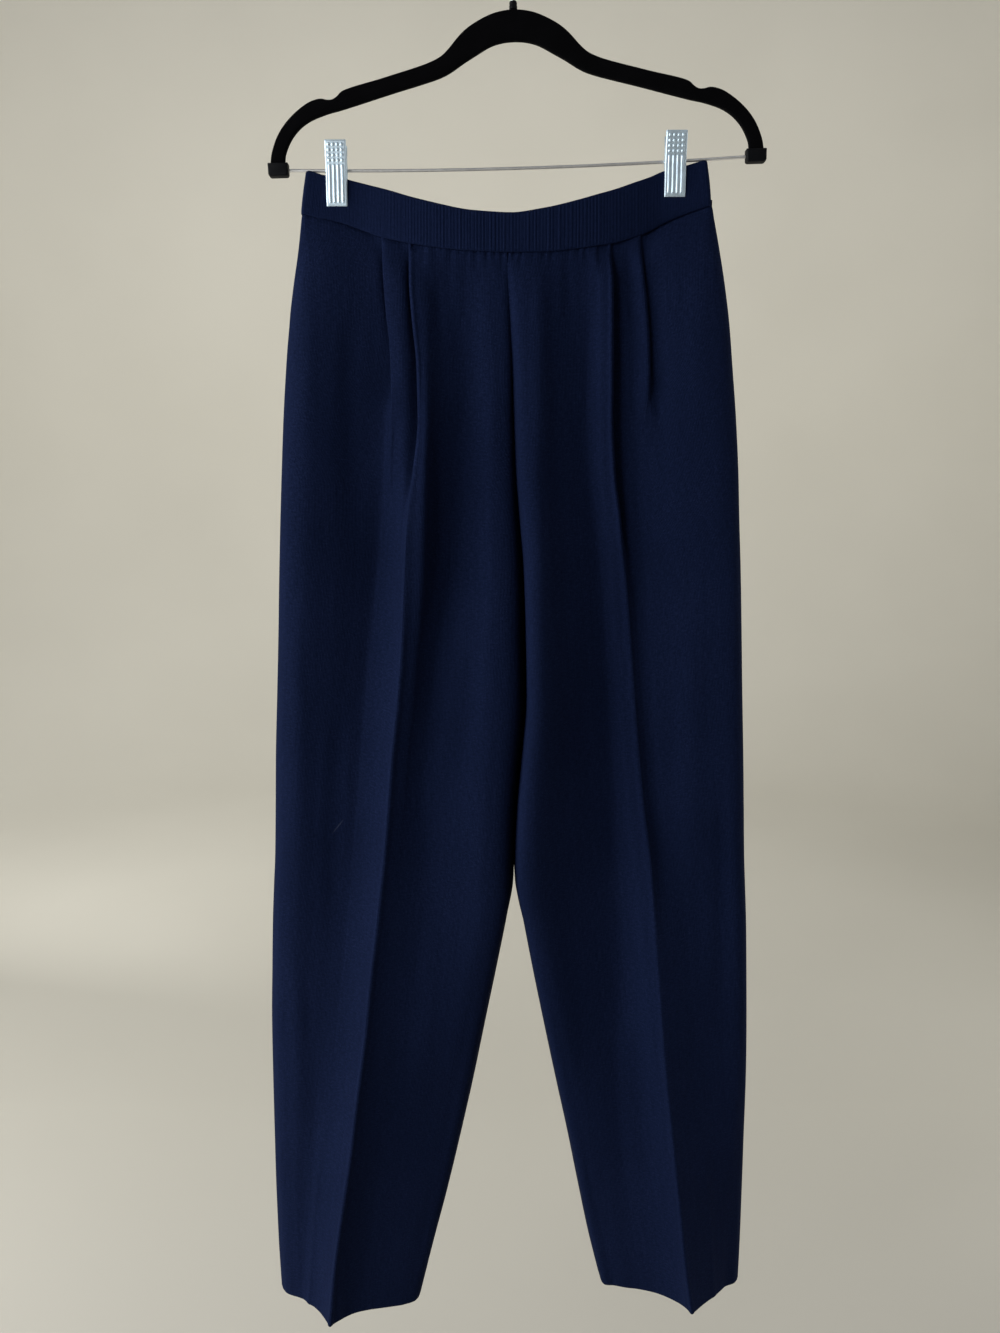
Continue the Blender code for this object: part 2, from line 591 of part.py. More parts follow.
# ---------------------------------------------------------------- materials
KNIT = material("knit", (0.0075, 0.0105, 0.036), 0.92)
RIB = material("rib_knit", (0.0075, 0.0105, 0.036), 0.92)
VELVET = material("velvet", (0.004, 0.004, 0.005), 0.95)
PLASTIC = material("black_plastic", (0.008, 0.008, 0.009), 0.45)
ZINC = material("zinc_steel", (0.55, 0.60, 0.66), 0.32, 1.0)
CHROME = material("bright_steel", (0.62, 0.62, 0.62), 0.18, 1.0)

# ---------------------------------------------------------------- cloth pieces
for leg in ("right", "left"):
    wall("front_" + leg, panel_grid(leg, front_section), PANEL_WALL, KNIT,
         keep=within(leg, True))
    wall("back_" + leg, panel_grid(leg, back_section), PANEL_WALL, KNIT,
         keep=within(leg, False))
wall("waistband", band_grid(), BAND_WALL, RIB, closed=True)

# ---------------------------------------------------------------- the hanger
TILT = math.radians(-HANGER_TILT)
HANGER_THICK = 5.6

# half of the arm's outline in the hanger's own level frame
TOP_COLUMNS = ("x", "z")
ARM_TOP = [(0.0, -78.2), (7.0, -78.6), (18.0, -81.0), (32.0, -87.3), (40.5, -92.9),
           (47.0, -99.0), (52.5, -105.0), (59.0, -110.8), (69.0, -115.6),
           (106.0, -125.9), (141.5, -135.4), (145.6, -139.0), (149.4, -141.2),
           (153.4, -141.4), (158.6, -140.4), (164.0, -141.2), (169.4, -143.2),
           (176.0, -147.2), (182.0, -151.8), (187.4, -156.8), (192.2, -162.4),
           (196.6, -169.2), (199.8, -176.4), (201.8, -182.6), (202.8, -187.9)]
ARM_LOW = [(191.1, -187.9), (190.2, -182.6), (188.2, -177.4), (185.2, -171.8),
           (181.6, -167.0), (177.0, -162.4), (171.6, -158.6), (165.6, -155.6),
           (159.4, -153.4), (152.0, -151.2), (143.8, -149.4), (102.0, -138.2),
           (60.0, -126.8), (51.0, -122.6), (42.0, -117.0), (32.0, -111.4),
           (18.4, -104.4), (8.0, -101.9), (0.0, -101.4)]
half = ARM_TOP + ARM_LOW
mirror = [(-x, z) for x, z in reversed(half) if x > 0.01]
plate("hanger_body", half + mirror, -HANGER_THICK / 2, HANGER_THICK / 2, 1.1, VELVET,
      turn_y=TILT)

# the collar under the hook and the wire hook, finished plainly above the collar
HOOK_RADIUS = 19.0 + HOOK_WIRE / 2        # to the wire's centre
COLLAR = (3.4, -77.9, -71.5)              # radius, bottom, top
collar = []
for z, r in ((COLLAR[1], COLLAR[0] - 0.6), (COLLAR[1] + 2.0, COLLAR[0] - 0.6),
             (COLLAR[2] - 1.0, COLLAR[0] - 0.9), (COLLAR[2], COLLAR[0] - 1.4)):
    collar.append((r, z))
verts, faces, ring = [], [], 16
bore = HOOK_WIRE / 2 + 0.3
loop = [(r, z) for r, z in collar]
for r, z in loop:
    for k in range(ring):
        a = 2 * math.pi * k / ring
        verts.append((r * math.cos(a), r * math.sin(a), z))
n = len(loop)
for i in range(n - 1):
    for k in range(ring):
        m = (k + 1) % ring
        faces.append((i * ring + k, i * ring + m, (i + 1) * ring + m, (i + 1) * ring + k))
faces.append(tuple(reversed(range(ring))))
faces.append(tuple((n - 1) * ring + k for k in range(ring)))
add("hanger_collar", verts, faces, PLASTIC, turn_y=TILT)

hook = []
cz = -(HOOK_RADIUS - HOOK_WIRE / 2)       # centre of the hook's bend below its inside top
for z in (COLLAR[2] + SEAM_GAP, -66.0, -60.0):
    hook.append((0.0, 0.0, z))
STEM_BEND = ((0.8, -54.0), (3.2, -48.2), (7.4, -42.6), (12.0, -37.6))
for x, z in STEM_BEND:
    hook.append((x, 0.0, z))
for deg in range(-46, 190, 12):
    a = math.radians(deg)
    hook.append((HOOK_RADIUS * math.cos(a), 0.0, cz + HOOK_RADIUS * math.sin(a)))
wire("hanger_hook", hook, HOOK_WIRE, 12, CHROME, turn_y=TILT)

# end caps and the trouser rod between them
CAP_COLUMNS = ("x0", "x1", "z0", "z1")
CAP = (188.5, 204.8, -199.0, -188.3)
ROD_END = 188.1
ROD_Z, ROD_SAG = -194.3, 3.6


def rod_z(x):
    return ROD_Z - ROD_SAG * (1.0 - (x / ROD_END) ** 2)


for side, label in ((-1.0, "right"), (1.0, "left")):
    box = [(side * CAP[0], CAP[2] + 1.6), (side * (CAP[0] + 1.6), CAP[2]),
           (side * (CAP[1] - 1.6), CAP[2]), (side * CAP[1], CAP[2] + 1.6),
           (side * CAP[1], CAP[3]), (side * CAP[0], CAP[3])]
    plate("hanger_cap_" + label, box, -4.4, 4.4, 0.8, PLASTIC, turn_y=TILT)
rod = [(x, 0.0, rod_z(x)) for x in np.linspace(-ROD_END, ROD_END, 25)]
wire("hanger_rod", rod, ROD_DIAMETER, 12, CHROME, turn_y=TILT)

# ---------------------------------------------------------------- the clips
CLIP_WIDTH = 17.4
JAW_STEEL = 1.0
CLIP_AT = {"right": -143.0, "left": 135.6}
# a jaw from the side: t is height over the rod, gap is its inner face's
# distance from the middle plane, rib is how proud its pressed ribs stand
JAW_COLUMNS = ("t", "gap", "rib")
JAW = [(21.5, 8.2, 0.0), (19.6, 8.0, 0.5), (13.0, 6.9, 0.5), (6.0, 5.7, 0.5),
       (2.0, 5.0, 0.5), (-3.0, 4.4, 0.5), (-9.0, 4.5, 0.5), (-17.0, 4.6, 0.5),
       (-24.0, 4.0, 0.5), (-26.6, 3.6, 0.5), (-28.5, 3.4, 0.0)]
RIBS = 4
EAR = 0.9


def jaw(name, at, facing):
    """One pressed jaw: a ribbed plate with two ears that the rod runs through."""
    half_w = CLIP_WIDTH / 2
    across = [(-half_w, 0.0), (-half_w + 1.0, 0.0)]
    pitch = (CLIP_WIDTH - 3.4) / RIBS
    for k in range(RIBS):
        x = -half_w + 1.7 + pitch * (k + 0.5)
        across += [(x - 1.35, 0.0), (x - 0.75, 1.0), (x + 0.75, 1.0), (x + 1.35, 0.0)]
    across += [(half_w - 1.0, 0.0), (half_w, 0.0)]
    verts, faces = [], []
    m = len(across)
    for t, gap, rib in JAW:
        for x, up in across:
            verts.append((x, facing * (gap + JAW_STEEL + rib * up), t))
    N = len(verts)
    for t, gap, rib in JAW:
        for x, up in across:
            verts.append((x, facing * (gap + 0.7 * rib * up), t))
    rows = len(JAW)
    for i in range(rows - 1):
        for j in range(m - 1):
            p, q = i * m + j, i * m + j + 1
            r, s = q + m, p + m
            faces.append((p, q, r, s))
            faces.append((N + s, N + r, N + q, N + p))
    for j in range(m - 1):
        faces.append((j, N + j, N + j + 1, j + 1))
        e = (rows - 1) * m
        faces.append((e + j, e + j + 1, N + e + j + 1, N + e + j))
    for i in range(rows - 1):
        p, q = i * m, (i + 1) * m
        faces.append((p, q, N + q, N + p))
        p, q = p + m - 1, q + m - 1
        faces.append((N + p, N + q, q, p))
    ob = add(name, verts, faces, ZINC, 40.0, at=at)
    # ears: the rear jaw's run inside the front jaw's
    ear_x = half_w - (0.0 if facing < 0 else EAR + 0.3)
    for side in (-1.0, 1.0):
        ring = [(facing * 5.1, 4.4), (facing * 4.9, -3.6), (facing * 1.0, -3.4),
                (-facing * 2.6, -1.6), (-facing * 2.6, 1.6), (facing * 1.0, 3.6)]
        bm = bmesh.new()
        vs = [bm.verts.new((side * ear_x * MM, y * MM, t * MM)) for y, t in ring]
        f = bm.faces.new(vs)
        got = bmesh.ops.extrude_face_region(bm, geom=[f])
        mv = [g for g in got["geom"] if isinstance(g, bmesh.types.BMVert)]
        bmesh.ops.translate(bm, verts=mv, vec=(-side * EAR * MM, 0.0, 0.0))
        bmesh.ops.recalc_face_normals(bm, faces=bm.faces[:])
        me = bpy.data.meshes.new(name + "_ear")
        bm.to_mesh(me)
        bm.free()
        ear = bpy.data.objects.new("guide_" + name + ("_a" if side < 0 else "_b"), me)
        ear.location = ob.location
        ear.hide_render = True
        ear.display_type = "WIRE"
        bpy.context.scene.collection.objects.link(ear)
        mod = ob.modifiers.new("ear", "BOOLEAN")
        mod.operation = "UNION"
        mod.object = ear
    hole = bpy.data.meshes.new(name + "_hole")
    bm = bmesh.new()
    bmesh.ops.create_cone(bm, cap_ends=True, segments=16, radius1=(ROD_DIAMETER / 2 + 0.35) * MM,
                          radius2=(ROD_DIAMETER / 2 + 0.35) * MM, depth=30.0 * MM)
    bmesh.ops.rotate(bm, verts=bm.verts[:], cent=(0, 0, 0),
                     matrix=Matrix.Rotation(math.pi / 2, 3, "Y"))
    bm.to_mesh(hole)
    bm.free()
    cut = bpy.data.objects.new("guide_" + name + "_hole", hole)
    cut.location = ob.location
    cut.rotation_euler = (0.0, TILT, 0.0)
    cut.hide_render = True
    cut.display_type = "WIRE"
    bpy.context.scene.collection.objects.link(cut)
    mod = ob.modifiers.new("rod_hole", "BOOLEAN")
    mod.operation = "DIFFERENCE"
    mod.object = cut
    return ob


def row_rod_z(x):
    """height of the rod, in the row's own frame, at a given x"""
    c, s = math.cos(TILT), math.sin(TILT)
    u = x / c
    for _ in range(6):
        u = (x - rod_z(u) * s) / c
    return -u * s + rod_z(u) * c


for label, x in CLIP_AT.items():
    at = (x, 0.0, row_rod_z(x))
    jaw("clip_" + label + "_front", at, -1.0)
    jaw("clip_" + label + "_rear", at, 1.0)
    # the spring between the ears, wound round the rod
    inner, outer, width, ring = ROD_DIAMETER / 2 + 0.35, 3.0, 10.0, 20
    verts, faces = [], []
    for r, w in ((inner, -1), (outer, -1), (outer, 1), (inner, 1)):
        for k in range(ring):
            a = 2 * math.pi * k / ring
            verts.append((w * width / 2, r * math.cos(a), r * math.sin(a)))
    for i in range(4):
        for k in range(ring):
            m, j = (k + 1) % ring, (i + 1) % 4
            faces.append((i * ring + k, i * ring + m, j * ring + m, j * ring + k))
    add("clip_" + label + "_spring", verts, faces, CHROME, 40.0, at=at, turn_y=TILT)
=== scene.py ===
"""Looks of the pull-on knit trousers on their clip hanger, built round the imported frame.
Lengths in the tables are millimetres in the row frame: origin inside the top of the hook,
+Z up, front of the garment towards -Y, the wearer's right leg at -X."""
import math
import bpy
import bmesh
import numpy as np
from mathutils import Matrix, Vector


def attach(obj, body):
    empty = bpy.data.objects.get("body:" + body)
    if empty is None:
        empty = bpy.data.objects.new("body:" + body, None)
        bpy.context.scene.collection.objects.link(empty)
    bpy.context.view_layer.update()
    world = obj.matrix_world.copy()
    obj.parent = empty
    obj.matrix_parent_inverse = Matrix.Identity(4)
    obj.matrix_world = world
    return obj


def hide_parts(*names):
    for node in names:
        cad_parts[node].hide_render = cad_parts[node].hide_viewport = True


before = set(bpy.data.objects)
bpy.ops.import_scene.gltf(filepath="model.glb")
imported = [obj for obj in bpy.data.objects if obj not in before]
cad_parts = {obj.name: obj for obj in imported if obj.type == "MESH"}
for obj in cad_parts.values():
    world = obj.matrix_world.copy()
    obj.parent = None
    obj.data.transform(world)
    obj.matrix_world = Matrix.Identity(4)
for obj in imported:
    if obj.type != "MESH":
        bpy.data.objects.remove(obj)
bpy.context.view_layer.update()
MM = 0.001
SCENE = bpy.context.scene

# =============================================================== camera
cam_data = bpy.data.cameras.new("camera")
camera = bpy.data.objects.new("camera", cam_data)
SCENE.collection.objects.link(camera)
camera.location = (-0.0085, -0.880, -0.4745)
camera.rotation_euler = (math.radians(81.0), 0.0, 0.0)
cam_data.sensor_width = 36.0
cam_data.lens = 36.0 * 1001.0 / 1333.0
cam_data.clip_start = 0.02
cam_data.clip_end = 60.0
SCENE.camera = camera

# =============================================================== small tools


class Table:
    """Rows with named columns, read smoothly at any height (or x)."""

    def __init__(self, columns, rows):
        self.columns = columns
        rows = sorted(rows)
        self.at = np.array([r[0] for r in rows], float)
        self.rows = np.array(rows, float)

    def __call__(self, name, at):
        xs, ys = self.at, self.rows[:, self.columns.index(name)]
        at = np.asarray(at, float)
        s = np.diff(ys) / np.diff(xs)
        m = np.zeros_like(ys)
        m[0], m[-1] = s[0], s[-1]
        a, b = s[:-1], s[1:]
        ok = a * b > 0
        m[1:-1][ok] = 2 * a[ok] * b[ok] / (a + b)[ok]
        i = np.clip(np.searchsorted(xs, at, side="right") - 1, 0, len(xs) - 2)
        h = xs[i + 1] - xs[i]
        t = np.clip((at - xs[i]) / h, 0.0, 1.0)
        return (ys[i] * (2 * t ** 3 - 3 * t ** 2 + 1)
                + m[i] * h * (t ** 3 - 2 * t ** 2 + t)
                + ys[i + 1] * (3 * t ** 2 - 2 * t ** 3)
                + m[i + 1] * h * (t ** 3 - t ** 2))


def mix(a, b, t):
    return a + (b - a) * t


def smooth(t):
    t = np.clip(t, 0.0, 1.0)
    return t * t * (3.0 - 2.0 * t)


def hump(t):
    """1 at 0, falling softly to 0 at 1 and beyond, either side"""
    t = np.clip(np.abs(t), 0.0, 1.0)
    return (1.0 - t * t) ** 2


# =============================================================== tables
OUTER_ENDS = {"right": -425.0, "left": -345.0}
CROTCH_Z = -530.0
HEM_Z = {"right": -1234.0, "left": -1222.0}

BAND = Table(("x", "top_z", "seam_z", "depth"), [
    (-165.8, -201.6, -233.4, 2.0), (-161.0, -202.8, -234.8, 1.9),
    (-154.0, -204.8, -236.6, 1.8), (-143.0, -206.2, -238.6, 1.8),
    (-130.0, -209.4, -242.6, 1.9), (-118.0, -212.6, -247.2, 3.4),
    (-104.0, -216.8, -252.6, 6.2), (-83.0, -223.2, -257.6, 9.4),
    (-58.0, -229.8, -262.0, 12.0), (-30.0, -235.0, -264.8, 13.6),
    (0.0, -236.9, -266.0, 14.2), (28.0, -233.4, -265.6, 13.8),
    (56.0, -226.8, -262.6, 12.2), (82.0, -219.2, -258.0, 9.6),
    (103.0, -211.4, -251.4, 6.2), (116.0, -206.6, -245.8, 3.4),
    (125.0, -202.6, -240.6, 1.9), (136.0, -199.6, -235.6, 1.8),
    (146.0, -197.4, -232.0, 1.8), (154.0, -195.2, -229.4, 1.9),
    (159.3, -193.8, -227.4, 2.0)])

OUTLINE_COLUMNS = ("z", "side_x", "crease_x", "inner_x")
OUTLINE = {
    "right": Table(OUTLINE_COLUMNS, [
        (-233.0, -172.4, -83.4, -3.4), (-262.0, -176.6, -83.2, -2.8),
        (-290.0, -181.4, -82.9, -1.6), (-320.0, -185.8, -80.9, 0.2),
        (-355.0, -189.6, -77.6, 2.2), (-400.0, -193.6, -76.8, 3.8),
        (-444.0, -196.6, -81.2, 5.4), (-480.0, -198.9, -85.6, 8.0),
        (-530.0, -201.8, -89.0, 12.0), (-590.0, -204.9, -92.4, 14.1),
        (-640.0, -207.8, -96.8, 14.8), (-690.0, -210.8, -102.4, 10.6),
        (-740.0, -213.0, -106.8, 6.0), (-790.0, -215.4, -111.6, 4.3),
        (-815.0, -217.3, -114.7, 3.4),
        (-850.0, -219.8, -118.8, -2.4), (-900.0, -222.4, -125.2, -11.8),
        (-950.0, -224.8, -130.6, -21.6), (-1016.0, -226.2, -139.6, -34.4),
        (-1070.0, -227.0, -146.6, -45.8), (-1125.0, -227.6, -155.2, -58.0),
        (-1181.0, -227.3, -163.2, -72.2), (-1234.0, -226.2, -168.4, -85.2)]),
    "left": Table(OUTLINE_COLUMNS, [
        (-226.0, 167.0, 82.6, -3.4), (-262.0, 173.8, 82.6, -2.8),
        (-290.0, 178.8, 84.4, -1.6), (-320.0, 183.4, 85.0, 0.2),
        (-355.0, 187.2, 85.4, 2.2), (-400.0, 192.0, 86.0, 3.8),
        (-444.0, 195.7, 88.8, 5.4), (-480.0, 197.8, 93.8, 8.0),
        (-530.0, 201.0, 99.2, 12.0), (-590.0, 204.4, 105.0, 14.1),
        (-640.0, 207.0, 109.4, 14.8), (-690.0, 209.8, 114.2, 11.0),
        (-740.0, 212.4, 119.6, 6.6), (-790.0, 214.8, 126.4, 4.7),
        (-815.0, 216.5, 128.9, 5.8),
        (-850.0, 218.8, 132.2, 12.7), (-900.0, 221.2, 136.6, 22.1),
        (-950.0, 223.2, 140.8, 32.0), (-1012.0, 225.1, 147.0, 44.7),
        (-1070.0, 226.0, 153.4, 57.0), (-1125.0, 226.6, 159.9, 67.8),
        (-1177.0, 226.9, 165.6, 78.4), (-1222.0, 226.6, 172.0, 89.2)]),
}

DEPTH_COLUMNS = ("z", "side_y", "edge_y", "outer_y", "crease_y", "hollow_y",
                 "hollow_at", "ridge_y", "ridge_at", "inner_y")
DEPTH = {
    "right": Table(DEPTH_COLUMNS, [
        (-233.0, 0.0, -2.6, -4.6, -12.6, -13.0, 0.50, -14.4, 0.80, -14.2),
        (-262.0, 0.0, -7.4, -6.2, -14.0, -12.0, 0.44, -14.4, 0.84, -14.0),
        (-300.0, 0.0, -11.8, -5.6, -16.2, -9.4, 0.43, -13.6, 0.85, -11.8),
        (-350.0, 0.0, -15.0, -2.6, -17.6, -6.6, 0.44, -12.4, 0.84, -8.4),
        (-400.0, 0.5, -16.8, -0.4, -19.8, -4.8, 0.42, -12.4, 0.77, -4.4),
        (-450.0, 1.0, -17.6, 0.2, -22.8, -4.2, 0.40, -13.2, 0.74, -3.4),
        (-495.0, 1.6, -18.0, 0.0, -25.2, -4.4, 0.37, -14.6, 0.71, -2.4),
        (-530.0, 2.0, -17.8, -1.2, -26.0, -5.4, 0.32, -17.0, 0.70, 0.0),
        (-600.0, 3.0, -17.4, -4.6, -26.8, -9.0, 0.20, -21.6, 0.70, 3.4),
        (-700.0, 4.6, -16.8, -8.4, -28.8, -15.0, 0.17, -27.6, 0.74, 5.0),
        (-790.0, 6.4, -15.8, -12.0, -31.6, -17.6, 0.24, -28.4, 0.76, 6.4),
        (-860.0, 8.0, -15.0, -14.4, -33.6, -18.6, 0.32, -24.4, 0.80, 8.0),
        (-950.0, 10.4, -13.8, -17.0, -36.6, -20.0, 0.38, -17.4, 0.80, 10.4),
        (-1040.0, 12.6, -13.6, -18.6, -41.0, -21.8, 0.38, -14.6, 0.80, 12.6),
        (-1130.0, 14.6, -13.4, -19.8, -45.0, -24.4, 0.36, -15.6, 0.80, 15.0),
        (-1234.0, 16.0, -12.6, -20.0, -48.0, -27.6, 0.34, -20.6, 0.80, 18.0)]),
    "left": Table(DEPTH_COLUMNS, [
        (-226.0, 0.0, -2.6, -4.6, -12.6, -13.0, 0.42, -14.4, 0.84, -14.2),
        (-262.0, 0.0, -12.0, -8.0, -15.0, -11.4, 0.24, -15.8, 0.74, -14.0),
        (-300.0, 0.0, -17.0, -9.8, -17.4, -10.2, 0.18, -17.4, 0.72, -12.0),
        (-350.0, 0.0, -19.2, -10.4, -18.6, -8.6, 0.17, -19.4, 0.72, -9.0),
        (-400.0, 0.5, -19.6, -8.6, -18.4, -6.6, 0.16, -21.2, 0.74, -6.8),
        (-450.0, 1.0, -19.4, -7.6, -17.2, -4.8, 0.15, -23.6, 0.78, -4.8),
        (-495.0, 1.6, -19.0, -7.4, -16.2, -3.4, 0.14, -26.0, 0.81, -2.6),
        (-530.0, 2.0, -18.8, -7.6, -14.8, -2.2, 0.13, -28.6, 0.83, 0.0),
        (-600.0, 3.0, -17.8, -8.0, -13.0, -1.2, 0.12, -32.6, 0.85, 3.4),
        (-700.0, 4.6, -17.2, -9.2, -14.4, -0.8, 0.13, -34.2, 0.85, 5.0),
        (-790.0, 6.0, -16.8, -12.4, -19.6, -2.6, 0.17, -30.6, 0.86, 6.4),
        (-860.0, 7.0, -16.6, -17.0, -25.0, -5.0, 0.20, -24.4, 0.86, 8.0),
        (-950.0, 8.4, -16.6, -21.2, -30.6, -8.2, 0.27, -17.4, 0.84, 8.6),
        (-1040.0, 9.0, -16.0, -23.0, -36.8, -12.0, 0.34, -12.8, 0.82, 9.0),
        (-1130.0, 9.0, -14.6, -24.0, -41.4, -14.0, 0.44, -11.4, 0.82, 9.0),
        (-1222.0, 8.0, -12.4, -23.4, -46.0, -15.8, 0.50, -11.0, 0.82, 8.0)]),
}

PLEAT_COLUMNS = ("z", "outer_x", "outer_y", "outer_fold", "inner_fold",
                 "roll_w", "roll_y")
PLEAT = {
    "right": Table(PLEAT_COLUMNS, [
        (-233.0, -106.6, -9.6, 8.6, 9.6, 9.6, 0.4),
        (-285.0, -104.6, -11.2, 8.4, 9.4, 9.6, 0.8),
        (-315.0, -102.6, -11.0, 7.5, 8.4, 9.6, 0.8),
        (-345.0, -100.0, -10.6, 6.0, 7.0, 8.6, 0.4),
        (-375.0, -99.4, -10.2, 3.4, 5.8, 7.4, -0.6),
        (-405.0, -99.2, -9.8, 0.6, 4.6, 7.2, -1.6),
        (-440.0, -101.0, -9.6, 0.0, 3.2, 9.6, -1.6),
        (-480.0, -104.0, -9.6, 0.0, 1.0, 13.4, -0.4),
        (-530.0, -109.0, -10.0, 0.0, 0.0, 15.0, 1.6),
        (-600.0, -117.0, -11.8, 0.0, 0.0, 12.0, 5.4),
        (-700.0, -127.0, -14.8, 0.0, 0.0, 11.6, 6.4),
        (-860.0, -142.0, -20.6, 0.0, 0.0, 11.0, 6.6),
        (-1040.0, -164.0, -27.4, 0.0, 0.0, 9.0, 7.0),
        (-1130.0, -176.6, -30.6, 0.0, 0.0, 8.5, 7.4),
        (-1234.0, -190.0, -28.6, 0.0, 0.0, 8.0, 7.6)]),
    "left": Table(PLEAT_COLUMNS, [
        (-226.0, 105.8, -9.6, 8.6, 9.6, 9.6, 0.4),
        (-276.0, 109.2, -12.2, 8.4, 9.4, 9.6, 1.4),
        (-304.0, 112.6, -13.6, 8.2, 9.4, 9.6, 2.4),
        (-332.0, 115.4, -14.2, 7.0, 10.0, 9.6, 3.4),
        (-360.0, 116.8, -14.4, 4.5, 9.5, 9.8, 4.0),
        (-387.0, 117.4, -14.2, 1.5, 9.0, 10.0, 4.4),
        (-415.0, 118.4, -13.8, 0.0, 8.0, 10.2, 4.6),
        (-444.0, 120.0, -13.4, 0.0, 6.5, 10.4, 4.8),
        (-480.0, 122.6, -13.2, 0.0, 4.0, 10.6, 5.0),
        (-520.0, 125.6, -13.0, 0.0, 1.5, 11.0, 5.2),
        (-570.0, 129.6, -12.8, 0.0, 0.0, 11.4, 5.2),
        (-700.0, 139.6, -13.6, 0.0, 0.0, 11.4, 5.6),
        (-860.0, 153.0, -17.4, 0.0, 0.0, 11.0, 7.6),
        (-1040.0, 171.0, -23.0, 0.0, 0.0, 9.0, 9.4),
        (-1130.0, 181.6, -26.4, 0.0, 0.0, 8.5, 10.4),
        (-1222.0, 192.4, -26.6, 0.0, 0.0, 8.0, 11.4)]),
}

BACK = Table(("z", "outer_y", "crease_y", "sharp", "hollow_y", "ridge_y", "seam_y"), [
    (-226.0, 5.6, 11.4, 0.0, 13.4, 14.2, 14.2),
    (-262.0, 9.0, 13.6, 0.0, 14.4, 14.8, 14.2),
    (-320.0, 14.0, 19.6, 0.1, 18.0, 18.4, 15.4),
    (-400.0, 18.0, 26.0, 0.3, 21.6, 23.0, 15.8),
    (-470.0, 19.4, 30.6, 0.6, 22.6, 27.6, 12.0),
    (-530.0, 20.4, 33.6, 0.8, 22.8, 30.6, 4.4),
    (-620.0, 22.0, 37.6, 1.0, 23.4, 31.6, 5.6),
    (-720.0, 24.4, 41.6, 1.0, 25.0, 31.0, 7.6),
    (-800.0, 26.6, 44.6, 1.0, 26.6, 29.0, 9.0),
    (-900.0, 29.6, 48.6, 1.0, 29.0, 27.0, 11.0),
    (-1040.0, 33.4, 53.6, 1.0, 32.4, 27.6, 14.0),
    (-1140.0, 35.6, 57.0, 1.0, 34.4, 29.0, 16.0),
    (-1234.0, 36.8, 60.0, 1.0, 35.6, 30.6, 18.0)])

# the side seam lies a little to the front below the waistband on the wearer's
# right, and slips round to the side further down
SIDE_SEAM = {
    "right": Table(("z", "in"), [(-228.0, 7.4), (-262.0, 6.6), (-300.0, 5.0),
                                 (-335.0, 2.2), (-365.0, 0.0), (-1240.0, 0.0)]),
    "left": Table(("z", "in"), [(-228.0, 0.0), (-1240.0, 0.0)]),
}

# soft ridges (+, towards the viewer of that face) and troughs (-), listed one by one.
# each runs from (x0, z0) to (x1, z1), bows sideways by `bow`, is `width` wide on
# each side and `high` tall, and fades out over its ends
FOLD_COLUMNS = ("x0", "z0", "x1", "z1", "bow", "width", "high")
FOLDS = {
    "front_right": [
        (-171.0, -270.0, -178.0, -440.0, 3.0, 14.0, 1.0),
        (-132.0, -300.0, -136.0, -520.0, -3.0, 15.0, -1.5),
        (-22.0, -272.0, -20.0, -470.0, 2.0, 12.0, 1.2),
        (-60.0, -285.0, -58.0, -400.0, -2.0, 10.0, -1.4),
        (-44.0, -266.0, -46.0, -330.0, 1.5, 8.0, 0.8),
        (-30.0, -590.0, -60.0, -760.0, 4.0, 16.0, -1.2),
        (-187.0, -560.0, -193.0, -820.0, 3.0, 14.0, 0.9),
        (-150.0, -640.0, -158.0, -900.0, -4.0, 14.0, -1.0),
        (-70.0, -820.0, -92.0, -1060.0, 4.0, 14.0, 0.9),
        (-196.0, -880.0, -199.0, -1150.0, 3.0, 13.0, 1.0),
    ],
    "front_left": [
        (158.0, -270.0, 164.0, -430.0, -4.0, 18.0, 1.2),
        (180.0, -330.0, 186.0, -560.0, 3.0, 10.0, -0.6),
        (25.0, -272.0, 29.0, -450.0, -2.0, 11.0, 1.0),
        (46.0, -268.0, 48.0, -340.0, 1.5, 8.0, -0.8),
        (66.0, -300.0, 68.0, -430.0, 2.0, 9.0, -0.8),
        (60.0, -620.0, 70.0, -820.0, 5.0, 15.0, -0.6),
        (160.0, -560.0, 172.0, -850.0, -5.0, 18.0, 1.2),
        (188.0, -700.0, 194.0, -980.0, 3.0, 12.0, -1.0),
        (108.0, -930.0, 128.0, -1150.0, -4.0, 12.0, 1.0),
    ],
    "back_right": [
        (-140.0, -262.0, -150.0, -470.0, 4.0, 20.0, 1.8),
        (-70.0, -270.0, -60.0, -460.0, -4.0, 16.0, 1.6),
        (-36.0, -275.0, -26.0, -430.0, 3.0, 12.0, -1.6),
        (-104.0, -280.0, -112.0, -420.0, 3.0, 13.0, -1.4),
        (-50.0, -560.0, -66.0, -800.0, 5.0, 18.0, 1.6),
        (-170.0, -600.0, -180.0, -900.0, 5.0, 16.0, 1.3),
        (-190.0, -880.0, -196.0, -1120.0, -3.0, 12.0, -1.0),
    ],
    "back_left": [
        (138.0, -262.0, 148.0, -450.0, -4.0, 20.0, 1.7),
        (66.0, -270.0, 60.0, -440.0, 4.0, 16.0, 1.7),
        (30.0, -275.0, 24.0, -420.0, -2.0, 11.0, -1.5),
        (100.0, -280.0, 108.0, -440.0, -3.0, 12.0, -1.4),
        (56.0, -560.0, 70.0, -810.0, -5.0, 17.0, 1.5),
        (168.0, -620.0, 178.0, -920.0, -5.0, 16.0, 1.3),
        (186.0, -860.0, 194.0, -1100.0, 3.0, 12.0, -1.0),
    ],
}


def flare(x, t):
    """The band is a little wider at its seam (t = 1) than at its top."""
    return x + 5.0 * t * (x / 168.0) ** 3


SEAM_XS = np.linspace(-165.8, 159.3, 400)
SEAM_ZS = BAND("seam_z", SEAM_XS)
SEAM_X1 = flare(SEAM_XS, 1.0)


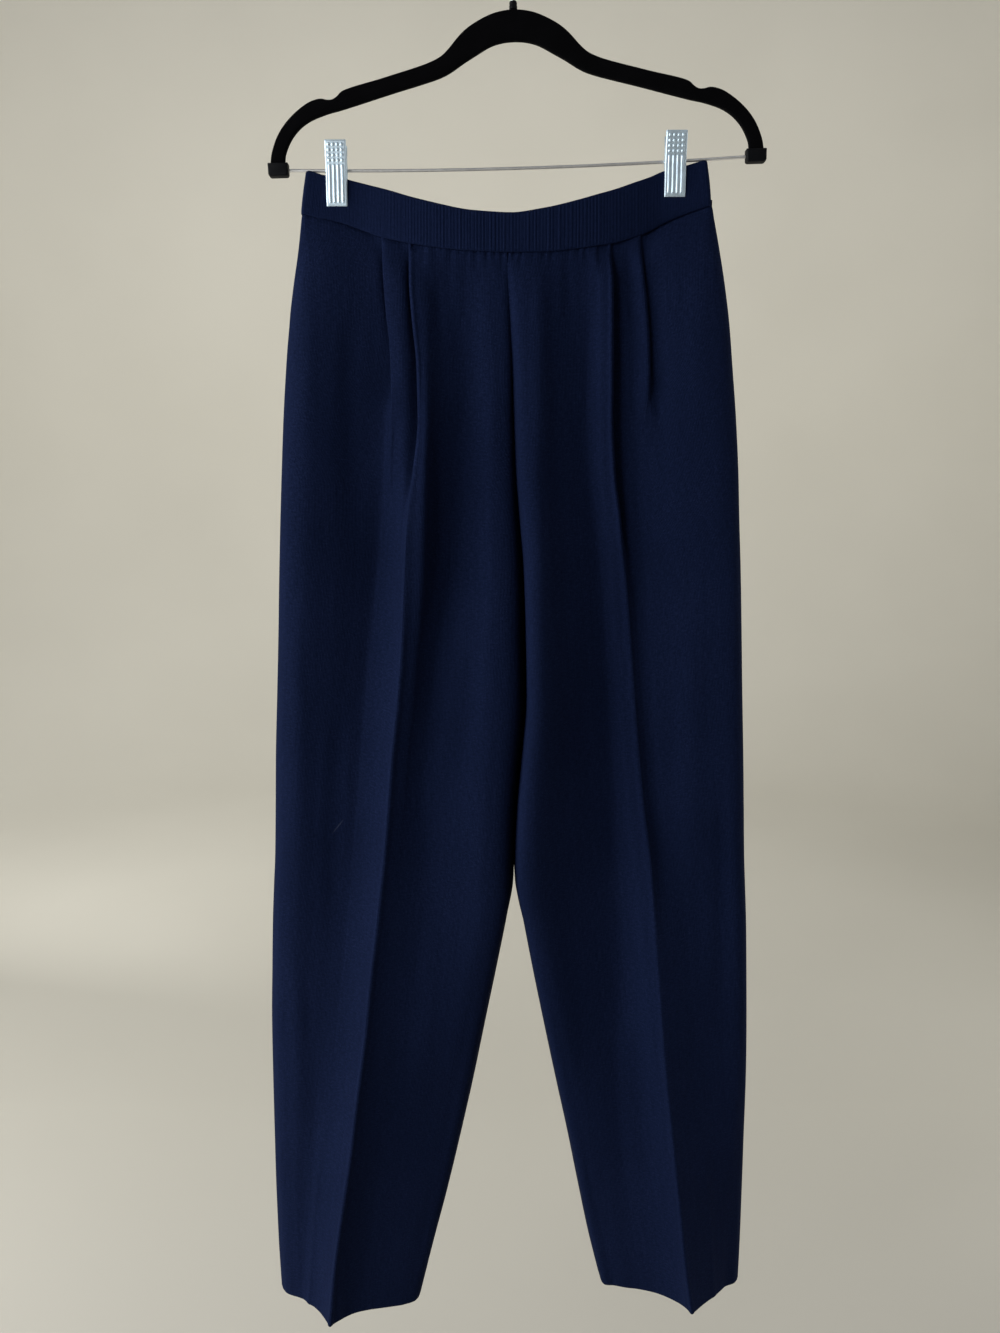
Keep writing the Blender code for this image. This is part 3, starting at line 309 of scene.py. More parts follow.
def seam_at(x):
    """height of the band's lower edge at a given x"""
    return np.interp(x, SEAM_X1, SEAM_ZS)


# =============================================================== sections
def front_section(leg, z, gap=2.6):
    """26 points (x, y) of one front panel at each height in z, from the side
    seam to the inner edge.  Returns an array (25, len(z), 2)."""
    z = np.asarray(z, float)
    out = lambda n: OUTLINE[leg](n, z)
    dep = lambda n: DEPTH[leg](n, z)
    ple = lambda n: PLEAT[leg](n, z)
    side_x, crease_x, inner_x = out("side_x"), out("crease_x"), out("inner_x")
    inward = 1.0 if leg == "right" else -1.0
    to_q = lambda x: (x - side_x) * inward
    side_y, edge_y, crest_y = dep("side_y"), dep("edge_y"), dep("crease_y")
    below = smooth((CROTCH_Z + 24.0 - z) / 48.0)
    inner_q = to_q(inner_x) - 0.1
    q2, q1 = to_q(crease_x), to_q(ple("outer_x"))
    # the side turns away softly on the wearer's right, sharply on the left
    bend = 23.0 if leg == "right" else mix(8.0, 16.0, smooth((-940.0 - z) / 240.0))
    pts = []
    for f in (0.0, 0.087, 0.36, 1.0):
        k = math.sqrt(max(0.0, 1.0 - (1.0 - f) ** 2))
        pts.append((f * bend + 0 * z, mix(side_y, edge_y, k)))
    flat_gap = 0.78 * gap
    upper = smooth((z + 880.0) / 120.0)
    low1 = ple("outer_y") + 2 * flat_gap * smooth(ple("outer_fold") / 5.0)
    room1, room2 = np.minimum(1.0, (q1 - bend) / 32.0), np.minimum(1.0, (q2 - q1) / 22.0)
    flat_end = q1 - 8.0 * room1
    pts.append((mix(bend, flat_end, 0.40), mix(dep("outer_y"), edge_y, 0.72 if leg == "right" else mix(0.55, 1.03, upper))))
    pts.append((mix(bend, flat_end, 0.76), mix(mix(dep("outer_y"), edge_y, 0.28 if leg == "right" else mix(0.14, 0.78, upper)), low1, 0.14 * (1.0 - smooth((OUTER_ENDS[leg] - z) / 90.0)))))

    def fold(qe, low, crest, depth, before, room, lean, ahead_y, soft, steps, g,
             dip=0.0, shade=0.0, lip=2.05):
        f = smooth(depth / 4.0)
        d = depth
        shut = [(qe - 4.6 - 4.0 * shade, mix(ahead_y, low, 0.30) + 0.8 * shade),
                (qe + 0.9, low + (0.6 if lip > 2.1 else 1.3) * g + 1.6 * shade),
                (qe + d, low - 0.5 * g + lean * d), (qe - 0.3, low - 1.1 * g),
                (qe + 1.5, low - lip * g)]
        flat = [(qe - 8.0 * room, mix(before, crest, 0.52 - 0.42 * dip)),
                (qe - 5.0 * room, mix(before, crest, 0.70 - 0.38 * dip)),
                (qe - 2.4 * room, mix(before, crest, 0.87 - 0.20 * dip)),
                (qe - 0.9 * room, crest + 0.3), (qe + 0.9 * room, crest + 0.2)]
        # further down the fold's line is gone and the cloth runs on evenly
        even = [(qe + o * room, rise(qe + o * room) if t else (crest + c))
                for o, t, c in steps]
        flat = [(mix(a[0], b[0], soft), mix(a[1], b[1], soft)) for a, b in zip(flat, even)]
        return [(mix(a[0], b[0], f), mix(a[1], b[1], f)) for a, b in zip(flat, shut)]

    # the outer fold's line fades a little under the end of the fold itself
    gone = smooth((OUTER_ENDS[leg] - z) / 90.0)
    start = q1 - 15.0 * room1
    outer_q = mix(bend, flat_end, 0.76)
    power = (1.65 + 0.45 * smooth((z + 930.0) / 180.0)) if leg == "right" else 1.25

    def rise(q):
        """the hollow climb from the outer half to the crease"""
        t = np.clip((q - start) / np.maximum(q2 - start, 1.0), 0.0, 1.0)
        climb = mix(dep("outer_y"), crest_y, t ** power)
        if leg == "right":
            return climb
        # on the wearer's left the outer half falls evenly into a narrow trough
        # close beside the crease, higher up the leg
        last = q2 - (11.0 + 6.0 * hump((z + 405.0) / 130.0)) * room2
        fall = mix(mix(dep("outer_y"), edge_y, 0.78), dep("outer_y"),
                   np.clip((q - outer_q) / np.maximum(last - outer_q, 1.0), 0.0, 1.0))
        t = np.clip((q - last) / np.maximum(q2 - last, 1.0), 0.0, 1.0)
        fall = np.where(q < last, fall, mix(dep("outer_y"), crest_y, t ** 1.5))
        return mix(climb, fall, upper)

    pts += fold(q1, low1, ple("outer_y"), ple("outer_fold"), dep("outer_y"), room1, 0.0,
                dep("outer_y"), gone,
                ((-8.0, 1, 0), (-4.4, 1, 0), (-0.8, 1, 0), (2.8, 1, 0), (6.4, 1, 0)), flat_gap,
                lip=1.75 if leg == "right" else 2.3)
    low2 = crest_y + 2 * gap
    f2 = smooth(ple("inner_fold") / 4.0)
    mid_y = mix(mix(ple("outer_y"), crest_y, 0.45) + 1.5,
                mix(ple("outer_y"), low2, 0.25) + (-1.6 if leg == "right" else 4.4), f2)
    # on the wearer's left the cloth sinks beside the crease's upper part instead
    dip = hump((z + 600.0) / 240.0) if leg == "left" else 0.0 * z
    even_y = rise(mix(q1, q2, 0.42))
    mid_y = mix(mid_y, even_y, gone)
    pts.append((mix(q1, q2, 0.42), mid_y))
    pts += fold(q2, low2, crest_y, ple("inner_fold"),
                mix(ple("outer_y"), crest_y, 0.25),
                room2, ple("roll_y") / ple("roll_w"), mid_y, gone,
                ((-8.0, 1, 0), (-5.0, 1, 0), (-2.4, 1, 0), (-0.9, 0, 0.3), (0.9, 0, 0.2)), gap, dip,
                hump((z + 405.0) / 120.0) if leg == "right" else 2.0 * hump((z + 390.0) / 170.0))
    w = ple("roll_w")
    # the cloth leaves the crease's edge straight
    pts.append((q2 + 0.34 * w, crest_y + 0.2 + 0.38 * ple("roll_y")))
    pts.append((q2 + w, crest_y + ple("roll_y")))
    rest = inner_q - q2 - w
    at, high = dep("hollow_at"), dep("ridge_at")
    low_y, top_y, inner_y = dep("hollow_y"), dep("ridge_y"), dep("inner_y")
    # the pressed strip beside the wearer's right crease ends in a sharp step
    step = hump((z + 492.0) / 112.0) if leg == "right" else 0.0 * z
    square = smooth((z + 400.0) / 80.0) if leg == "right" else 0.0 * z
    pts.append((q2 + w + mix(0.20 * at * rest, 1.8, step),
                mix(crest_y + ple("roll_y"), low_y, mix(mix(0.32, 0.18, square), 0.52, step))))
    pts.append((q2 + w + 0.52 * at * rest, mix(crest_y + ple("roll_y"), low_y, mix(0.70, 0.84, step))))
    pts.append((q2 + w + at * rest, low_y))
    pts.append((q2 + w + mix(at, high, 0.55) * rest, mix(low_y, top_y, 0.50 if leg == "right" else 0.43)))
    pts.append((q2 + w + high * rest, top_y))
    turn = mix(0.20, 0.16 if leg == "right" else 0.09, below)
    pts.append((q2 + w + mix(high, 1.0, 0.72) * rest, mix(top_y, inner_y, turn)))
    pts.append((inner_q, inner_y))
    return np.array([[side_x + inward * q, y + 0 * z] for q, y in pts]).transpose(0, 2, 1)


def back_section(leg, z):
    z = np.asarray(z, float)
    out = lambda n: OUTLINE[leg](n, z)
    dep = lambda n: DEPTH[leg](n, z)
    bak = lambda n: BACK(n, z)
    side_x, inner_x = out("side_x"), out("inner_x")
    inward = 1.0 if leg == "right" else -1.0
    to_q = lambda x: (x - side_x) * inward
    below = smooth((CROTCH_Z + 24.0 - z) / 48.0)
    inner_q = to_q(inner_x) - 0.1
    q2 = to_q(out("crease_x"))
    side_y = dep("side_y")
    edge = mix(side_y, bak("outer_y"), 0.72)
    bend = 11.0
    pts = []
    for q in (0.0, 1.2, 4.2, bend):
        k = math.sqrt(max(0.0, 1.0 - (1.0 - q / bend) ** 2))
        pts.append((q + 0 * z, mix(side_y, edge, k)))
    sharp, crest = bak("sharp"), bak("crease_y")
    pts.append((mix(bend, q2, 0.45), bak("outer_y")))
    pts.append((mix(bend, q2, 0.76), mix(bak("outer_y"), crest, mix(0.7, 0.5, sharp))))
    pts.append((q2 - mix(8.0, 1.4, sharp), crest - 0.4))
    pts.append((q2 + mix(8.0, 1.4, sharp), crest - 0.4))
    rest = inner_q - q2
    pts.append((q2 + 0.24 * rest, mix(bak("hollow_y"), crest, mix(0.5, 0.34, sharp))))
    pts.append((q2 + 0.50 * rest, bak("hollow_y")))
    pts.append((q2 + 0.80 * rest, bak("ridge_y")))
    pts.append((q2 + 0.95 * rest, mix(bak("ridge_y"), bak("seam_y"), mix(0.3, 0.55, below))))
    end_y = np.where(below < 0.5, bak("seam_y"),
                     mix(bak("seam_y"), dep("inner_y"), smooth(2 * below - 1)))
    pts.append((inner_q, end_y))
    return np.array([[side_x + inward * q, y + 0 * z] for q, y in pts]).transpose(0, 2, 1)


def levels(first, last, leg):
    """Shares of the way from the waist seam to the hem, closer near both."""
    v = [0.0]
    length = first - last
    while v[-1] < 1.0:
        d = v[-1] * length
        e = (1.0 - v[-1]) * length
        step = 1.5 if d < 26 else (2.4 if d < 70 else 3.9)
        step = min(step, 1.2 + e * 0.06)
        v.append(v[-1] + max(step, 1.2) / length)
    v[-1] = 1.0
    if v[-1] - v[-2] < 0.4 / length:
        v.pop(-2)
    return np.array(v)


def control_grid(leg, section):
    """(rows, points, 3) control points and each row's share of the length."""
    probe = section(leg, np.array([-246.0]))
    K = probe.shape[0]
    tops = []
    for k in range(K):
        z0 = np.array([-250.0])
        for _ in range(8):
            z0 = seam_at(section(leg, z0)[k, :, 0])
        tops.append(float(z0[0]))
    v = levels(-250.0, HEM_Z[leg], leg)
    g = np.zeros((len(v), K, 3))
    for k in range(K):
        z = mix(tops[k], HEM_Z[leg], v)
        s = section(leg, z)[k]
        g[:, k, 0], g[:, k, 1], g[:, k, 2] = s[:, 0], s[:, 1], z
    return g, v


def catmull(P, counts, alpha=0.5):
    """Centripetal Catmull-Rom through each row of control points, the same
    number of steps per span in each row."""
    R, K, _ = P.shape
    first = 2 * P[:, :1] - P[:, 1:2]
    last = 2 * P[:, -1:] - P[:, -2:-1]
    Q = np.concatenate([first, P, last], axis=1)
    out = []
    for k in range(K - 1):
        p0, p1, p2, p3 = Q[:, k], Q[:, k + 1], Q[:, k + 2], Q[:, k + 3]
        d = lambda a, b: np.maximum(np.linalg.norm((b - a)[:, :2], axis=1), 1e-4) ** alpha
        t0 = np.zeros(R)
        t1 = t0 + d(p0, p1)
        t2 = t1 + d(p1, p2)
        t3 = t2 + d(p2, p3)
        n = counts[k]
        for i in range(n):
            t = (t1 + (t2 - t1) * i / n)[:, None]
            T0, T1, T2, T3 = t0[:, None], t1[:, None], t2[:, None], t3[:, None]
            A1 = (T1 - t) / (T1 - T0) * p0 + (t - T0) / (T1 - T0) * p1
            A2 = (T2 - t) / (T2 - T1) * p1 + (t - T1) / (T2 - T1) * p2
            A3 = (T3 - t) / (T3 - T2) * p2 + (t - T2) / (T3 - T2) * p3
            B1 = (T2 - t) / (T2 - T0) * A1 + (t - T0) / (T2 - T0) * A2
            B2 = (T3 - t) / (T3 - T1) * A2 + (t - T1) / (T3 - T1) * A3
            out.append((T2 - t) / (T2 - T1) * B1 + (t - T1) / (T2 - T1) * B2)
    out.append(P[:, -1])
    return np.stack(out, axis=1)


def normals(G, closed=False):
    """Unit normals of a grid of points, each side's direction weighed alike."""
    if closed:
        a = np.roll(G, -1, axis=1) - G
        b = G - np.roll(G, 1, axis=1)
        a /= np.maximum(np.linalg.norm(a, axis=2, keepdims=True), 1e-9)
        b /= np.maximum(np.linalg.norm(b, axis=2, keepdims=True), 1e-9)
        du = a + b
        c = (a * b).sum(axis=2)
    else:
        d = np.diff(G, axis=1)
        d /= np.maximum(np.linalg.norm(d, axis=2, keepdims=True), 1e-9)
        du = np.empty_like(G)
        du[:, 1:-1] = d[:, 1:] + d[:, :-1]
        du[:, 0], du[:, -1] = d[:, 0], d[:, -1]
        c = np.ones(G.shape[:2])
        c[:, 1:-1] = (d[:, 1:] * d[:, :-1]).sum(axis=2)
    dv = np.empty_like(G)
    dv[1:-1] = G[2:] - G[:-2]
    dv[0], dv[-1] = G[1] - G[0], G[-1] - G[-2]
    n = np.cross(du, dv)
    n /= np.maximum(np.linalg.norm(n, axis=2, keepdims=True), 1e-9)
    stretch = 1.0 / np.sqrt((1.0 + np.clip(c, -0.2, 1.0)) / 2.0)
    return n, np.minimum(stretch, 1.42)


# =============================================================== materials
def new_material(name):
    m = bpy.data.materials.new(name)
    m.use_nodes = True
    nt = m.node_tree
    return m, nt, nt.nodes["Principled BSDF"]


def node(nt, kind, **values):
    n = nt.nodes.new(kind)
    for k, v in values.items():
        if k.startswith("in_"):
            n.inputs[int(k[3:])].default_value = v
        else:
            setattr(n, k, v)
    return n


def math_node(nt, op, a, b=None, clamp=False):
    n = nt.nodes.new("ShaderNodeMath")
    n.operation = op
    n.use_clamp = clamp
    for i, v in enumerate((a, b)):
        if v is None:
            continue
        if isinstance(v, (int, float)):
            n.inputs[i].default_value = v
        else:
            nt.links.new(v, n.inputs[i])
    return n.outputs[0]


def ramp(nt, fac, stops):
    r = nt.nodes.new("ShaderNodeValToRGB")
    while len(r.color_ramp.elements) < len(stops):
        r.color_ramp.elements.new(0.5)
    for e, (p, c) in zip(r.color_ramp.elements, stops):
        e.position = p
        e.color = (*c, 1.0) if len(c) == 3 else c
    nt.links.new(fac, r.inputs["Fac"])
    return r.outputs["Color"]


NAVY_DEEP = (0.0023, 0.0050, 0.0180)
NAVY = (0.0042, 0.0083, 0.0291)
NAVY_WORN = (0.0084, 0.0140, 0.0450)


def knit_material(name, wale, course, relief, streak, heather, lint=()):
    """A fine knit: upright wales of little V stitches in the cloth's own UV
    (metres across and along the grain), faint streaks along the yarn."""
    m, nt, b = new_material(name)
    uv = node(nt, "ShaderNodeUVMap", uv_map="cloth")
    sep = node(nt, "ShaderNodeSeparateXYZ")
    nt.links.new(uv.outputs[0], sep.inputs[0])
    u, v = sep.outputs[0], sep.outputs[1]
    # the yarn wanders a little
    wob = node(nt, "ShaderNodeTexNoise", noise_dimensions="2D")
    wob.inputs["Scale"].default_value = 55.0
    wob.inputs["Detail"].default_value = 1.0
    nt.links.new(uv.outputs[0], wob.inputs["Vector"])
    drift = math_node(nt, "MULTIPLY", math_node(nt, "SUBTRACT", wob.outputs[0], 0.5), 0.0009)
    w = math_node(nt, "DIVIDE", math_node(nt, "ADD", u, drift), wale)
    across = math_node(nt, "SINE", math_node(nt, "MULTIPLY", w, 2 * math.pi))
    tri = math_node(nt, "PINGPONG", w, 0.5)
    c = math_node(nt, "ADD", math_node(nt, "DIVIDE", v, course),
                  math_node(nt, "MULTIPLY", tri, 1.3))
    along = math_node(nt, "SINE", math_node(nt, "MULTIPLY", c, 2 * math.pi))
    stitch = math_node(nt, "ADD", math_node(nt, "MULTIPLY", across, 0.62),
                       math_node(nt, "MULTIPLY", along, 0.38))
    # streaks along the yarn, and soft patches
    stretch = node(nt, "ShaderNodeMapping")
    stretch.inputs["Scale"].default_value = (1.0, 0.035, 1.0)
    nt.links.new(uv.outputs[0], stretch.inputs["Vector"])
    streaks = node(nt, "ShaderNodeTexNoise", noise_dimensions="2D")
    streaks.inputs["Scale"].default_value = 420.0
    streaks.inputs["Detail"].default_value = 3.0
    streaks.inputs["Roughness"].default_value = 0.65
    nt.links.new(stretch.outputs[0], streaks.inputs["Vector"])
    patch = node(nt, "ShaderNodeTexNoise", noise_dimensions="2D")
    patch.inputs["Scale"].default_value = 9.0
    patch.inputs["Detail"].default_value = 2.0
    nt.links.new(uv.outputs[0], patch.inputs["Vector"])
    fleck = node(nt, "ShaderNodeTexNoise", noise_dimensions="2D")
    fleck.inputs["Scale"].default_value = 820.0
    fleck.inputs["Detail"].default_value = 3.0
    nt.links.new(uv.outputs[0], fleck.inputs["Vector"])
    tone = math_node(nt, "ADD",
                     math_node(nt, "MULTIPLY", math_node(nt, "SUBTRACT", streaks.outputs[0], 0.5), streak),
                     math_node(nt, "MULTIPLY", math_node(nt, "SUBTRACT", patch.outputs[0], 0.5), 0.35))
    # the heathered look: flecks, and short dashes along the courses
    flat = node(nt, "ShaderNodeMapping")
    flat.inputs["Scale"].default_value = (0.36, 1.0, 1.0)
    nt.links.new(uv.outputs[0], flat.inputs["Vector"])
    dash = node(nt, "ShaderNodeTexNoise", noise_dimensions="2D")
    dash.inputs["Scale"].default_value = 640.0
    dash.inputs["Detail"].default_value = 2.0
    nt.links.new(flat.outputs[0], dash.inputs["Vector"])
    tone = math_node(nt, "ADD", tone,
                     math_node(nt, "MULTIPLY", math_node(nt, "SUBTRACT", fleck.outputs[0], 0.5), heather))
    tone = math_node(nt, "ADD", tone,
                     math_node(nt, "MULTIPLY", math_node(nt, "SUBTRACT", dash.outputs[0], 0.5), 0.8 * heather))
    # the stitch relief also sets the colour, lighter on the wales and darker in the grooves between them:
    # painted shade in the knit's recesses
    tone = math_node(nt, "ADD", tone, math_node(nt, "MULTIPLY", stitch, 0.13))
    fac = math_node(nt, "ADD", tone, 0.5, clamp=True)
    colour = ramp(nt, fac, [(0.0, NAVY_DEEP), (0.55, NAVY), (1.0, NAVY_WORN)])
    for (x, z, length, wide) in lint:
        # a stray pale fibre caught on the cloth
        co = node(nt, "ShaderNodeTexCoord")
        s2 = node(nt, "ShaderNodeSeparateXYZ")
        nt.links.new(co.outputs["Object"], s2.inputs[0])
        dx = math_node(nt, "SUBTRACT", s2.outputs[0], x * MM)
        dz = math_node(nt, "SUBTRACT", s2.outputs[2], z * MM)
        along_f = math_node(nt, "ADD", math_node(nt, "MULTIPLY", dx, 0.62),
                            math_node(nt, "MULTIPLY", dz, 0.78))
        off_f = math_node(nt, "SUBTRACT", math_node(nt, "MULTIPLY", dx, 0.78),
                          math_node(nt, "MULTIPLY", dz, 0.62))
        e = math_node(nt, "ADD",
                      math_node(nt, "POWER", math_node(nt, "DIVIDE", along_f, length * MM), 2.0),
                      math_node(nt, "POWER", math_node(nt, "DIVIDE", off_f, wide * MM), 2.0))
        mask = math_node(nt, "SUBTRACT", 1.0, e, clamp=True)
        front = math_node(nt, "LESS_THAN", s2.outputs[1], 0.0)
        mask = math_node(nt, "MULTIPLY", math_node(nt, "MULTIPLY", mask, front), 0.30)
        mx = node(nt, "ShaderNodeMix", data_type="RGBA")
        nt.links.new(mask, mx.inputs[0])
        nt.links.new(colour, mx.inputs[6])
        mx.inputs[7].default_value = (0.06, 0.07, 0.12, 1.0)
        colour = mx.outputs[2]
    nt.links.new(colour, b.inputs["Base Color"])
    b.inputs["Roughness"].default_value = 0.88
    b.inputs["Specular IOR Level"].default_value = 0.03
    b.inputs["Sheen Weight"].default_value = 0.010
    b.inputs["Sheen Roughness"].default_value = 0.40
    b.inputs["Sheen Tint"].default_value = (0.30, 0.38, 1.0, 1.0)
    height = math_node(nt, "ADD", math_node(nt, "MULTIPLY", stitch, 0.5),
                       math_node(nt, "MULTIPLY", fleck.outputs[0], 0.9))
    height = math_node(nt, "ADD", height, math_node(nt, "MULTIPLY", streaks.outputs[0], 1.3))
    bump = node(nt, "ShaderNodeBump")
    bump.inputs["Strength"].default_value = relief
    bump.inputs["Distance"].default_value = 0.0003
    nt.links.new(height, bump.inputs["Height"])
    nt.links.new(bump.outputs[0], b.inputs["Normal"])
    return m


KNIT = knit_material("navy_knit", 0.00125, 0.00100, 0.62, 0.25, 1.10,
                     lint=[(-154.3, -757.5, 9.5, 0.8)])
RIB = knit_material("navy_rib", 0.00125, 0.00100, 0.50, 0.30, 0.70)


def velvet_material():
    m, nt, b = new_material("black_flock")
    co = node(nt, "ShaderNodeTexCoord")
    n1 = node(nt, "ShaderNodeTexNoise")
    n1.inputs["Scale"].default_value = 2600.0
    n1.inputs["Detail"].default_value = 2.0
    n2 = node(nt, "ShaderNodeTexNoise")
    n2.inputs["Scale"].default_value = 60.0
    n2.inputs["Detail"].default_value = 3.0
    for n in (n1, n2):
        nt.links.new(co.outputs["Object"], n.inputs["Vector"])
    f = math_node(nt, "ADD", math_node(nt, "MULTIPLY", n1.outputs[0], 0.6),
                  math_node(nt, "MULTIPLY", n2.outputs[0], 0.5))
    col = ramp(nt, f, [(0.25, (0.0005, 0.0005, 0.0008)), (0.6, (0.0011, 0.0011, 0.0016)),
                       (0.95, (0.0034, 0.0034, 0.0046))])
    nt.links.new(col, b.inputs["Base Color"])
    b.inputs["Roughness"].default_value = 0.96
    b.inputs["Specular IOR Level"].default_value = 0.05
    b.inputs["Sheen Weight"].default_value = 0.008
    b.inputs["Sheen Roughness"].default_value = 0.35
    bump = node(nt, "ShaderNodeBump")
    bump.inputs["Strength"].default_value = 0.5
    bump.inputs["Distance"].default_value = 0.0003
    nt.links.new(n1.outputs[0], bump.inputs["Height"])
    nt.links.new(bump.outputs[0], b.inputs["Normal"])
    return m


def plastic_material():
    m, nt, b = new_material("black_moulding")
    co = node(nt, "ShaderNodeTexCoord")
    n1 = node(nt, "ShaderNodeTexNoise")
    n1.inputs["Scale"].default_value = 900.0
    n1.inputs["Detail"].default_value = 3.0
    nt.links.new(co.outputs["Object"], n1.inputs["Vector"])
    col = ramp(nt, n1.outputs[0], [(0.3, (0.0009, 0.0012, 0.0019)), (0.8, (0.0024, 0.0030, 0.0044))])
    nt.links.new(col, b.inputs["Base Color"])
    b.inputs["Specular IOR Level"].default_value = 0.11
    r = math_node(nt, "ADD", math_node(nt, "MULTIPLY", n1.outputs[0], 0.20), 0.46)
    nt.links.new(r, b.inputs["Roughness"])
    bump = node(nt, "ShaderNodeBump")
    bump.inputs["Strength"].default_value = 0.25
    bump.inputs["Distance"].default_value = 0.0002
    nt.links.new(n1.outputs[0], bump.inputs["Height"])
    nt.links.new(bump.outputs[0], b.inputs["Normal"])
    return m


def steel_material(name, light, dark, rough, brushed):
    m, nt, b = new_material(name)
    co = node(nt, "ShaderNodeTexCoord")
    mp = node(nt, "ShaderNodeMapping")
    mp.inputs["Scale"].default_value = (1.0, 1.0, 0.08 if brushed else 1.0)
    nt.links.new(co.outputs["Object"], mp.inputs["Vector"])
    n1 = node(nt, "ShaderNodeTexNoise")
    n1.inputs["Scale"].default_value = 1700.0 if brushed else 350.0
    n1.inputs["Detail"].default_value = 3.0
    nt.links.new(mp.outputs[0], n1.inputs["Vector"])
    n2 = node(nt, "ShaderNodeTexNoise")
    n2.inputs["Scale"].default_value = 160.0
    n2.inputs["Detail"].default_value = 4.0
    nt.links.new(co.outputs["Object"], n2.inputs["Vector"])
    f = math_node(nt, "ADD", math_node(nt, "MULTIPLY", n1.outputs[0], 0.5),
                  math_node(nt, "MULTIPLY", n2.outputs[0], 0.5))
    nt.links.new(ramp(nt, f, [(0.3, dark), (0.65, light)]), b.inputs["Base Color"])
    b.inputs["Metallic"].default_value = 1.0
    r = math_node(nt, "ADD", math_node(nt, "MULTIPLY", f, 0.18), rough - 0.09)
    nt.links.new(r, b.inputs["Roughness"])
    bump = node(nt, "ShaderNodeBump")
    bump.inputs["Strength"].default_value = 0.12
    bump.inputs["Distance"].default_value = 0.0001
    nt.links.new(n1.outputs[0], bump.inputs["Height"])
    nt.links.new(bump.outputs[0], b.inputs["Normal"])
    return m


VELVET = velvet_material()
PLASTIC = plastic_material()
ZINC = steel_material("zinc_plate", (0.67, 0.80, 0.89), (0.53, 0.64, 0.72), 0.58, True)
CHROME = steel_material("bright_wire", (0.93, 0.93, 0.92), (0.84, 0.84, 0.84), 0.42, False)


# =============================================================== mesh makers
def link(name, verts, faces, mat, uvs=None, smooth_deg=None):
    """verts in millimetres; faces as an index array or list; uvs per vertex"""
    me = bpy.data.meshes.new(name)
    co = np.asarray(verts, float) * MM
    if isinstance(faces, np.ndarray):
        n, k = faces.shape
        me.vertices.add(len(co))
        me.vertices.foreach_set("co", co.astype(np.float32).ravel())
        me.loops.add(n * k)
        me.loops.foreach_set("vertex_index", faces.astype(np.int32).ravel())
        me.polygons.add(n)
        me.polygons.foreach_set("loop_start", np.arange(0, n * k, k, dtype=np.int32))
        me.update(calc_edges=True)
        me.validate()
    else:
        me.from_pydata([tuple(c) for c in co], [], faces)
        me.validate()
    if uvs is not None:
        layer = me.uv_layers.new(name="cloth")
        idx = np.zeros(len(me.loops), np.int32)
        me.loops.foreach_get("vertex_index", idx)
        layer.data.foreach_set("uv", np.asarray(uvs, np.float32)[idx].ravel())
    me.shade_smooth()
    if smooth_deg:
        me.set_sharp_from_angle(angle=math.radians(smooth_deg))
    me.materials.append(mat)
    ob = bpy.data.objects.new(name, me)
    SCENE.collection.objects.link(ob)
    return ob


def shell(name, G, UV, thickness, mat, closed=False, outward=None):
    """A thin closed shell on a grid of mid-surface points, its two faces joined by flat rims.
    The grid's columns may run in a closed loop."""
    n, stretch = normals(G, closed)
    R, C = G.shape[:2]
    h = thickness / 2
    off = n * (h * stretch)[..., None]
    # the two faces, half the thickness either side of the mid-surface
    layers = [G + off, G - off]
    verts = np.concatenate([layers[0].reshape(-1, 3), layers[1].reshape(-1, 3)])
    uvs = np.concatenate([UV.reshape(-1, 2), UV.reshape(-1, 2)])
    N = R * C
    cols = np.arange(C if closed else C - 1)
    nxt = (cols + 1) % C
    i = np.arange(R - 1)[:, None] * C
    p, q = i + cols, i + nxt
    r, s = q + C, p + C
    front = np.stack([p, q, r, s], -1).reshape(-1, 4)
    back = np.stack([s, r, q, p], -1).reshape(-1, 4) + N
    faces = [front, back]
    # rims
    top = np.stack([cols + N, nxt + N, nxt, cols], -1)
    e = (R - 1) * C
    low = np.stack([e + cols, e + nxt, e + nxt + N, e + cols + N], -1)
    faces += [top, low]
    if not closed:
        a = np.arange(R - 1) * C
        faces.append(np.stack([a, a + C, a + C + N, a + N], -1))
        a = a + C - 1
        faces.append(np.stack([a + N, a + C + N, a + C, a], -1))
    faces = np.concatenate(faces)
    # outward: make the signed volume positive
    v = verts
    tri = np.concatenate([faces[:, [0, 1, 2]], faces[:, [0, 2, 3]]])
    vol = np.einsum("ij,ij->i", v[tri[:, 0]], np.cross(v[tri[:, 1]], v[tri[:, 2]])).sum()
    if vol < 0:
        faces = faces[:, ::-1]
    return link(name, verts, faces, mat, uvs)


# =============================================================== the cloth
CLOTH = 1.15          # thickness of one layer of the knit
RNG = np.random.default_rng(20)


def gather(x, below, seed):
    """little uneven pits where the elastic draws the cloth in under the band"""
    rng = np.random.default_rng(seed)
    y = 0.30 * np.exp(-(below / 11.0) ** 2)
    at = -96.0
    while at < 92.0:
        at += rng.uniform(5.0, 10.5)
        wide, deep = rng.uniform(1.9, 3.0), rng.uniform(0.7, 1.5)
        long, lean = rng.uniform(5.5, 14.0), rng.uniform(-0.12, 0.12)
        pit = hump((x - at - lean * below) / (wide * (1.0 + 0.07 * below)))
        y = y - deep * pit * np.exp(-(below / long) ** 2)
    return y * smooth(below / 1.6) * smooth((88.0 - np.abs(x)) / 26.0)


def fold_field(x, z, rows):
    """Sum of the listed ridges and troughs at points (x, z)."""
    y = np.zeros_like(x)
    for x0, z0, x1, z1, bow, width, high in rows:
        t = (z - z0) / (z1 - z0)
        xc = mix(x0, x1, t) + bow * np.sin(np.clip(t, 0, 1) * math.pi)
        fade = smooth(t / 0.22) * smooth((1.0 - t) / 0.38)
        w = width * (0.75 + 0.45 * np.clip(t, 0, 1))
        y += high * hump((x - xc) / w) * fade
    return y


